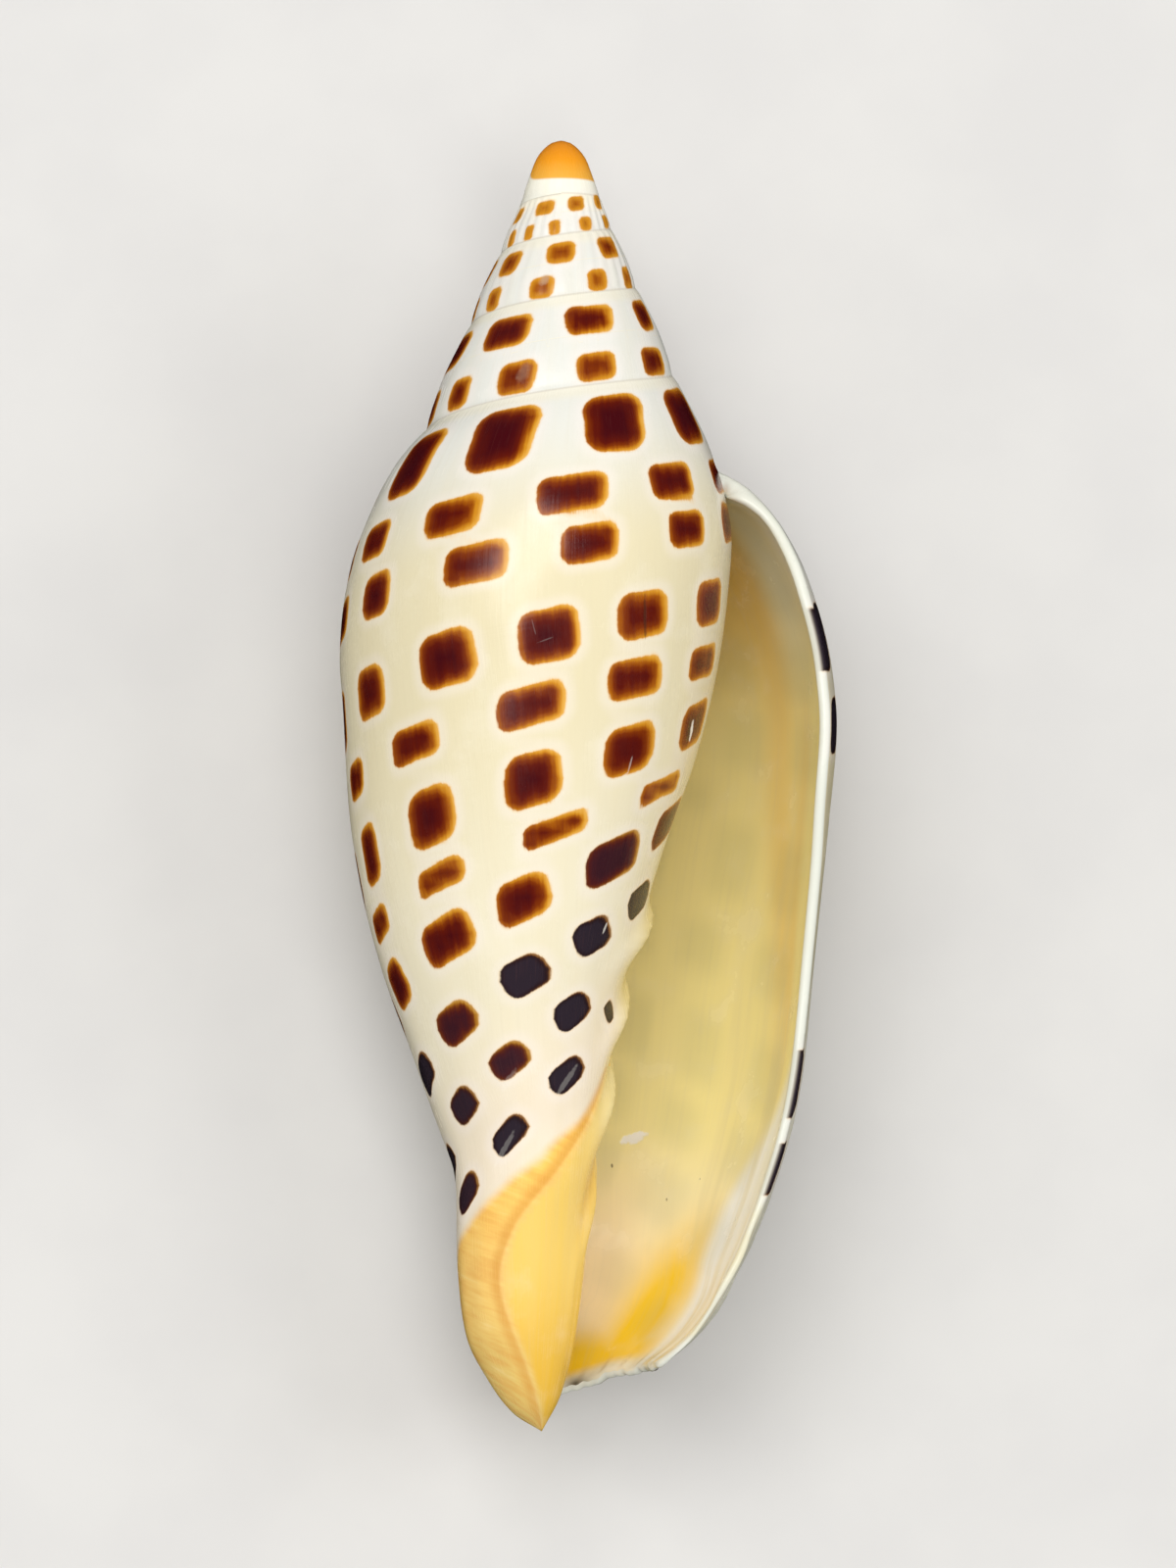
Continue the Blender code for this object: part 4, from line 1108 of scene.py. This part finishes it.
def shell_finish():
    """Glazed ivory. Spots run from an amber rim through red-brown to a maroon or blue-black core, with edges
    frayed along the growth lines. Cap, fasciole and crease are orange to brown, and the inside is smooth."""
    glaze = Finish("glazed ivory with brown spots")
    ease, mix, noise, joined = glaze.ease, glaze.mix, glaze.noise, glaze.joined
    time, level, depth = glaze.noted("growth")
    spot, shade, tone = glaze.noted("spot")
    scar, scar_depth, _ = glaze.noted("scar")
    past_fasciole, past_crease, past_cap = glaze.noted("edges")
    covered, from_suture, _ = glaze.noted("wall")
    outer = 1 - covered

    # Grain: threads along the growth lines, spiral threads, and even mottling.
    threads = noise(joined(260 * time, 9 * level), detail=3)
    fine_threads = noise(joined(900 * time, 24 * level))
    swells = noise(joined(34 * time, 3 * level), detail=3)
    spirals = noise(joined(12 * time, 240 * level), detail=3)
    mottle = noise(glaze.place(), 260, detail=4)
    specks = noise(glaze.place(), 1800, detail=3, roughness=0.6)

    # Ground, whiter in a halo round each spot, with faint threads.
    ground = glaze.noted_colour("ground")
    ground = mix(ease(swells, 0.35, 0.7, 0, 0.1), ground, GROWTH_BUFF)
    ground = mix(ease(threads, 0.45, 0.8, 0, 0.1), ground, THREAD_GREY)
    ground = mix(ease(mottle, 0.5, 0.75, 0, 0.12), ground, MOTTLE_WHITE)
    ground = mix(ease(spot, -1.2, -0.15, 0, 0.3) * outer, ground, HALO_WHITE)

    # Yellowish growth lines close to the lip on the lower half.
    near_lip = ease(time, 0.15, 0.04) * ease(level, 0.5, 0.8)
    ground = mix(near_lip * ease(swells, 0.48, 0.62, 0, 0.5), ground, RIDGE_YELLOW)

    # A fine painted shadow line in the suture, with a creamy margin below it.
    margin = ease(from_suture, 0.0, 0.1) * ease(from_suture, 1.3, 0.5, 0, 0.35)
    ground = mix(margin, ground, SUTURE_CREAM)
    suture_shadow = ease(from_suture, -0.16, -0.02) * ease(from_suture, 0.14, 0.0, 0, 0.3)
    ground = mix(suture_shadow, ground, SUTURE_SHADOW)

    # Fasciole, its brown crease (partly its own colour, partly painted shade), and the cap.
    along = ease(depth, 0.78, 1.0)
    orange = glaze.ramp(along, (0, FASCIOLE_ORANGE), (0.45, FASCIOLE_LOW), (1, FASCIOLE_TIP))
    striae = noise(joined(150 * depth - 22 * time, 9 * time), detail=3)
    orange = mix(ease(striae, 0.42, 0.66, 0, 0.38), orange, STRIA_ORANGE)
    orange = mix(ease(striae, 0.45, 0.28, 0, 0.4), orange, STRIA_PALE)
    below = past_fasciole + 1.6 * mottle - 0.8
    ground = mix(ease(below, -0.7, 0.9) * ease(past_crease, -0.1, 0.9, 1, 0), ground, orange)
    # Painted shade in the crease, over its own orange-brown.
    crease = ease(past_crease, -1.0, -0.15) * ease(past_crease, 0.3, -0.05, 0, 0.5)
    ground = mix(crease, ground, CREASE_BROWN_AND_SHADE)
    cap = glaze.ramp(ease(depth, 0.0, 0.036), (0, CAP_TOP), (0.5, CAP_ORANGE), (1, CAP_PALE))
    ground = mix(ease(past_cap, -0.12, 0.12), ground, cap)

    # Spots: the edge is frayed, so that its teeth follow the growth lines, and streaks follow them inside.
    fray = 0.5 * mottle + 0.06 * threads + 0.12 * fine_threads + 0.14 * specks - 0.41
    edge = spot + fray
    streaks = noise(joined(80 * time, 5 * level))
    into = shade + 0.36 * threads + 0.8 * mottle - 0.58 + (1.2 * streaks - 0.6) * ease(spot, 0.1, 1.0)
    dark, pale = ease(tone, 0.6, 0.95), ease(tone, 0.5, 0.1)
    into = into * (1.0 + 1.6 * dark) * (1.0 - 0.6 * pale)
    brown = glaze.ramp(ease(into, -0.3, 2.2), *BROWN_SPOT)
    black = glaze.ramp(ease(into, -0.25, 1.6), *BLACK_SPOT)
    body = mix(dark, brown, black)
    body = mix(ease(fine_threads, 0.58, 0.8, 0, 0.16), body, WORN_BROWN)
    on_spot = ease(edge, -0.09, 0.07) * outer
    colour = mix(ease(edge, -0.22, -0.02, 0, 0.3) * outer, ground, AMBER_EDGE)
    colour = mix(on_spot, colour, body)
    colour = mix(ease(spot, -1.6, 1.2, 0, 0.13) * covered, colour, SEEN_THROUGH)

    # Scars: a pale broken edge, partly its own and partly a painted highlight, with a painted shadow line
    # beside it.
    strong = ease(scar_depth, 0.0, 0.2) * outer
    off = scar + 0.3 * specks - 0.15
    broken_edge_and_highlight = ease(off, -0.06, 0.02) * ease(off, 0.56, 0.34, 0, 0.9)
    colour = mix(broken_edge_and_highlight * strong, colour, SCAR_CREAM_AND_HIGHLIGHT)
    scar_shadow = ease(off, -0.2, -0.08) * ease(off, 0.04, -0.04, 0, 0.75)
    colour = mix(scar_shadow * strong, colour, SCAR_SHADOW_BROWN)
    colour, cut = flawed(glaze, colour, time, level, covered, specks)
    glaze.feed(glaze.shader.inputs["Base Color"], colour)

    # Relief under the glaze, in millimetres. Hardly any of the grain shows inside.
    grain = 0.014 * threads + 0.008 * fine_threads + 0.008 * spirals + 0.004 * specks
    step = ease(off, -0.1, 0.1) * (0.5 * scar_depth) * outer
    height = grain * (1.0 - 0.93 * covered) + step + 0.006 * on_spot + cut
    glaze.feed(glaze.shader.inputs["Normal"], glaze.bump(height, 0.001))
    rough = ease(mottle, 0.3, 0.7, 0.18, 0.28) + ease(threads, 0.4, 0.7, 0, 0.05) * outer
    glaze.feed(glaze.shader.inputs["Roughness"], rough)
    glaze.shader.inputs["Coat Weight"].default_value = 0.12
    glaze.shader.inputs["Coat Roughness"].default_value = 0.15
    glaze.shader.inputs["Specular IOR Level"].default_value = 0.42
    return glaze.material


def shell():
    """The one piece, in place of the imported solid."""
    mesh = shell_mesh()
    mesh.materials.append(shell_finish())
    piece = bpy.data.objects.new("shell_glazed", mesh)
    bpy.context.scene.collection.objects.link(piece)
    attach(piece, "root")
    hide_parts("shell")
    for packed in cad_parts.values():
        packed.hide_render = True
        packed.hide_viewport = True
    return piece


FLOOR_HALF = 1.5
FLOOR_SHADES = ((0.66, 0.65, 0.635), (0.69, 0.68, 0.66))


def floor():
    """A plain pale floor under the shell: a square, faintly clouded between two shades."""
    half = FLOOR_HALF
    mesh = bpy.data.meshes.new("floor")
    corners = [(-half, -half, 0), (half, -half, 0), (half, half, 0), (-half, half, 0)]
    mesh.from_pydata(corners, [], [(0, 1, 2, 3)])
    finish = Finish("pale floor")
    clouds = finish.ease(finish.noise(finish.place(), scale=60, detail=4), 0.3, 0.7)
    colour = finish.mix(clouds, *FLOOR_SHADES)
    finish.feed(finish.shader.inputs["Base Color"], colour)
    finish.shader.inputs["Roughness"].default_value = 0.75
    mesh.materials.append(finish.material)
    ground = bpy.data.objects.new("floor", mesh)
    bpy.context.scene.collection.objects.link(ground)
    ground.visible_glossy = False


def soft_light(name, place, target, size, watts, glossy=True):
    """A rectangular soft light at a place, facing the target. A fill leaves no reflection in the glaze."""
    light = bpy.data.lights.new(name, "AREA")
    light.shape = "RECTANGLE"
    light.size, light.size_y = size
    light.energy = watts
    lamp = bpy.data.objects.new(name, light)
    lamp.location = place
    lamp.rotation_euler = (Vector(target) - Vector(place)).to_track_quat("-Z", "Y").to_euler()
    lamp.visible_glossy = glossy
    lamp.visible_camera = False
    bpy.context.scene.collection.objects.link(lamp)


# The lights, from the shell's centre, in metres and watts.
KEY_PLACE, KEY_SIZE, KEY_WATTS = (-0.27, 0.29, 0.95), (0.72, 0.56), 4.6
FILL_SIZE = (0.5, 0.5)
FILLS = (
    ("left", (-0.8, 0.0, 0.6), 0.9),
    ("right", (0.7, 0.1, 0.7), 2.2),
    ("front", (0.08, -0.14, 1.1), 3.9),
)
SURROUND = 0.41  # brightness of the pale surround


def studio(centre):
    """One large light over the front that leaves a soft highlight on the shoulder, a wide fill on each side
    and one from the front, and an even pale surround."""
    soft_light("key", centre + Vector(KEY_PLACE), centre, KEY_SIZE, KEY_WATTS)
    for name, place, watts in FILLS:
        soft_light("fill " + name, centre + Vector(place), centre, FILL_SIZE, watts, glossy=False)
    world = bpy.data.worlds.new("surround")
    world.use_nodes = True
    background = world.node_tree.nodes["Background"]
    background.inputs["Color"].default_value = (1, 0.99, 0.97, 1)
    background.inputs["Strength"].default_value = SURROUND
    world.cycles_visibility.glossy = False
    bpy.context.scene.world = world
    bpy.context.scene.view_settings.view_transform = "Standard"


VIEW_TILT_DEGREES = 6.0  # how far the apex leans away from the camera
CAMERA_DISTANCE = 1.5
SENSOR_WIDTH = 36  # millimetres
FRAME_FILL = 0.822  # share of the frame's height that the shell takes


def camera(piece):
    """A long lens over the aperture, square to the shell apart from a small tilt, with the shell's outline
    in the middle of the frame."""
    tilt = np.radians(-VIEW_TILT_DEGREES)
    tilted = np.array([[1, 0, 0], [0, np.cos(tilt), -np.sin(tilt)], [0, np.sin(tilt), np.cos(tilt)]])
    axes = resting_turn() @ tilted.T  # columns: right, up, and back toward the camera
    points = np.empty(3 * len(piece.data.vertices), np.float32)
    piece.data.vertices.foreach_get("co", points)
    seen = points.reshape(-1, 3) @ axes
    low, high = seen.min(axis=0), seen.max(axis=0)
    aim = axes @ ((low + high) / 2)
    lens = bpy.data.cameras.new("camera")
    lens.sensor_fit = "AUTO"
    lens.sensor_width = SENSOR_WIDTH
    lens.lens = SENSOR_WIDTH * CAMERA_DISTANCE * FRAME_FILL / (high[1] - low[1])
    lens.clip_start, lens.clip_end = 0.05, 20
    eye = bpy.data.objects.new("camera", lens)
    bpy.context.scene.collection.objects.link(eye)
    turned = Matrix(axes.tolist()).to_4x4()
    eye.matrix_world = Matrix.Translation(Vector(aim + axes[:, 2] * CAMERA_DISTANCE)) @ turned
    bpy.context.scene.camera = eye


def main():
    """The shell, the floor, the lights and the camera."""
    piece = shell()
    floor()
    low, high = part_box("shell")
    studio((low + high) / 2)
    camera(piece)
    bpy.context.view_layer.update()


main()
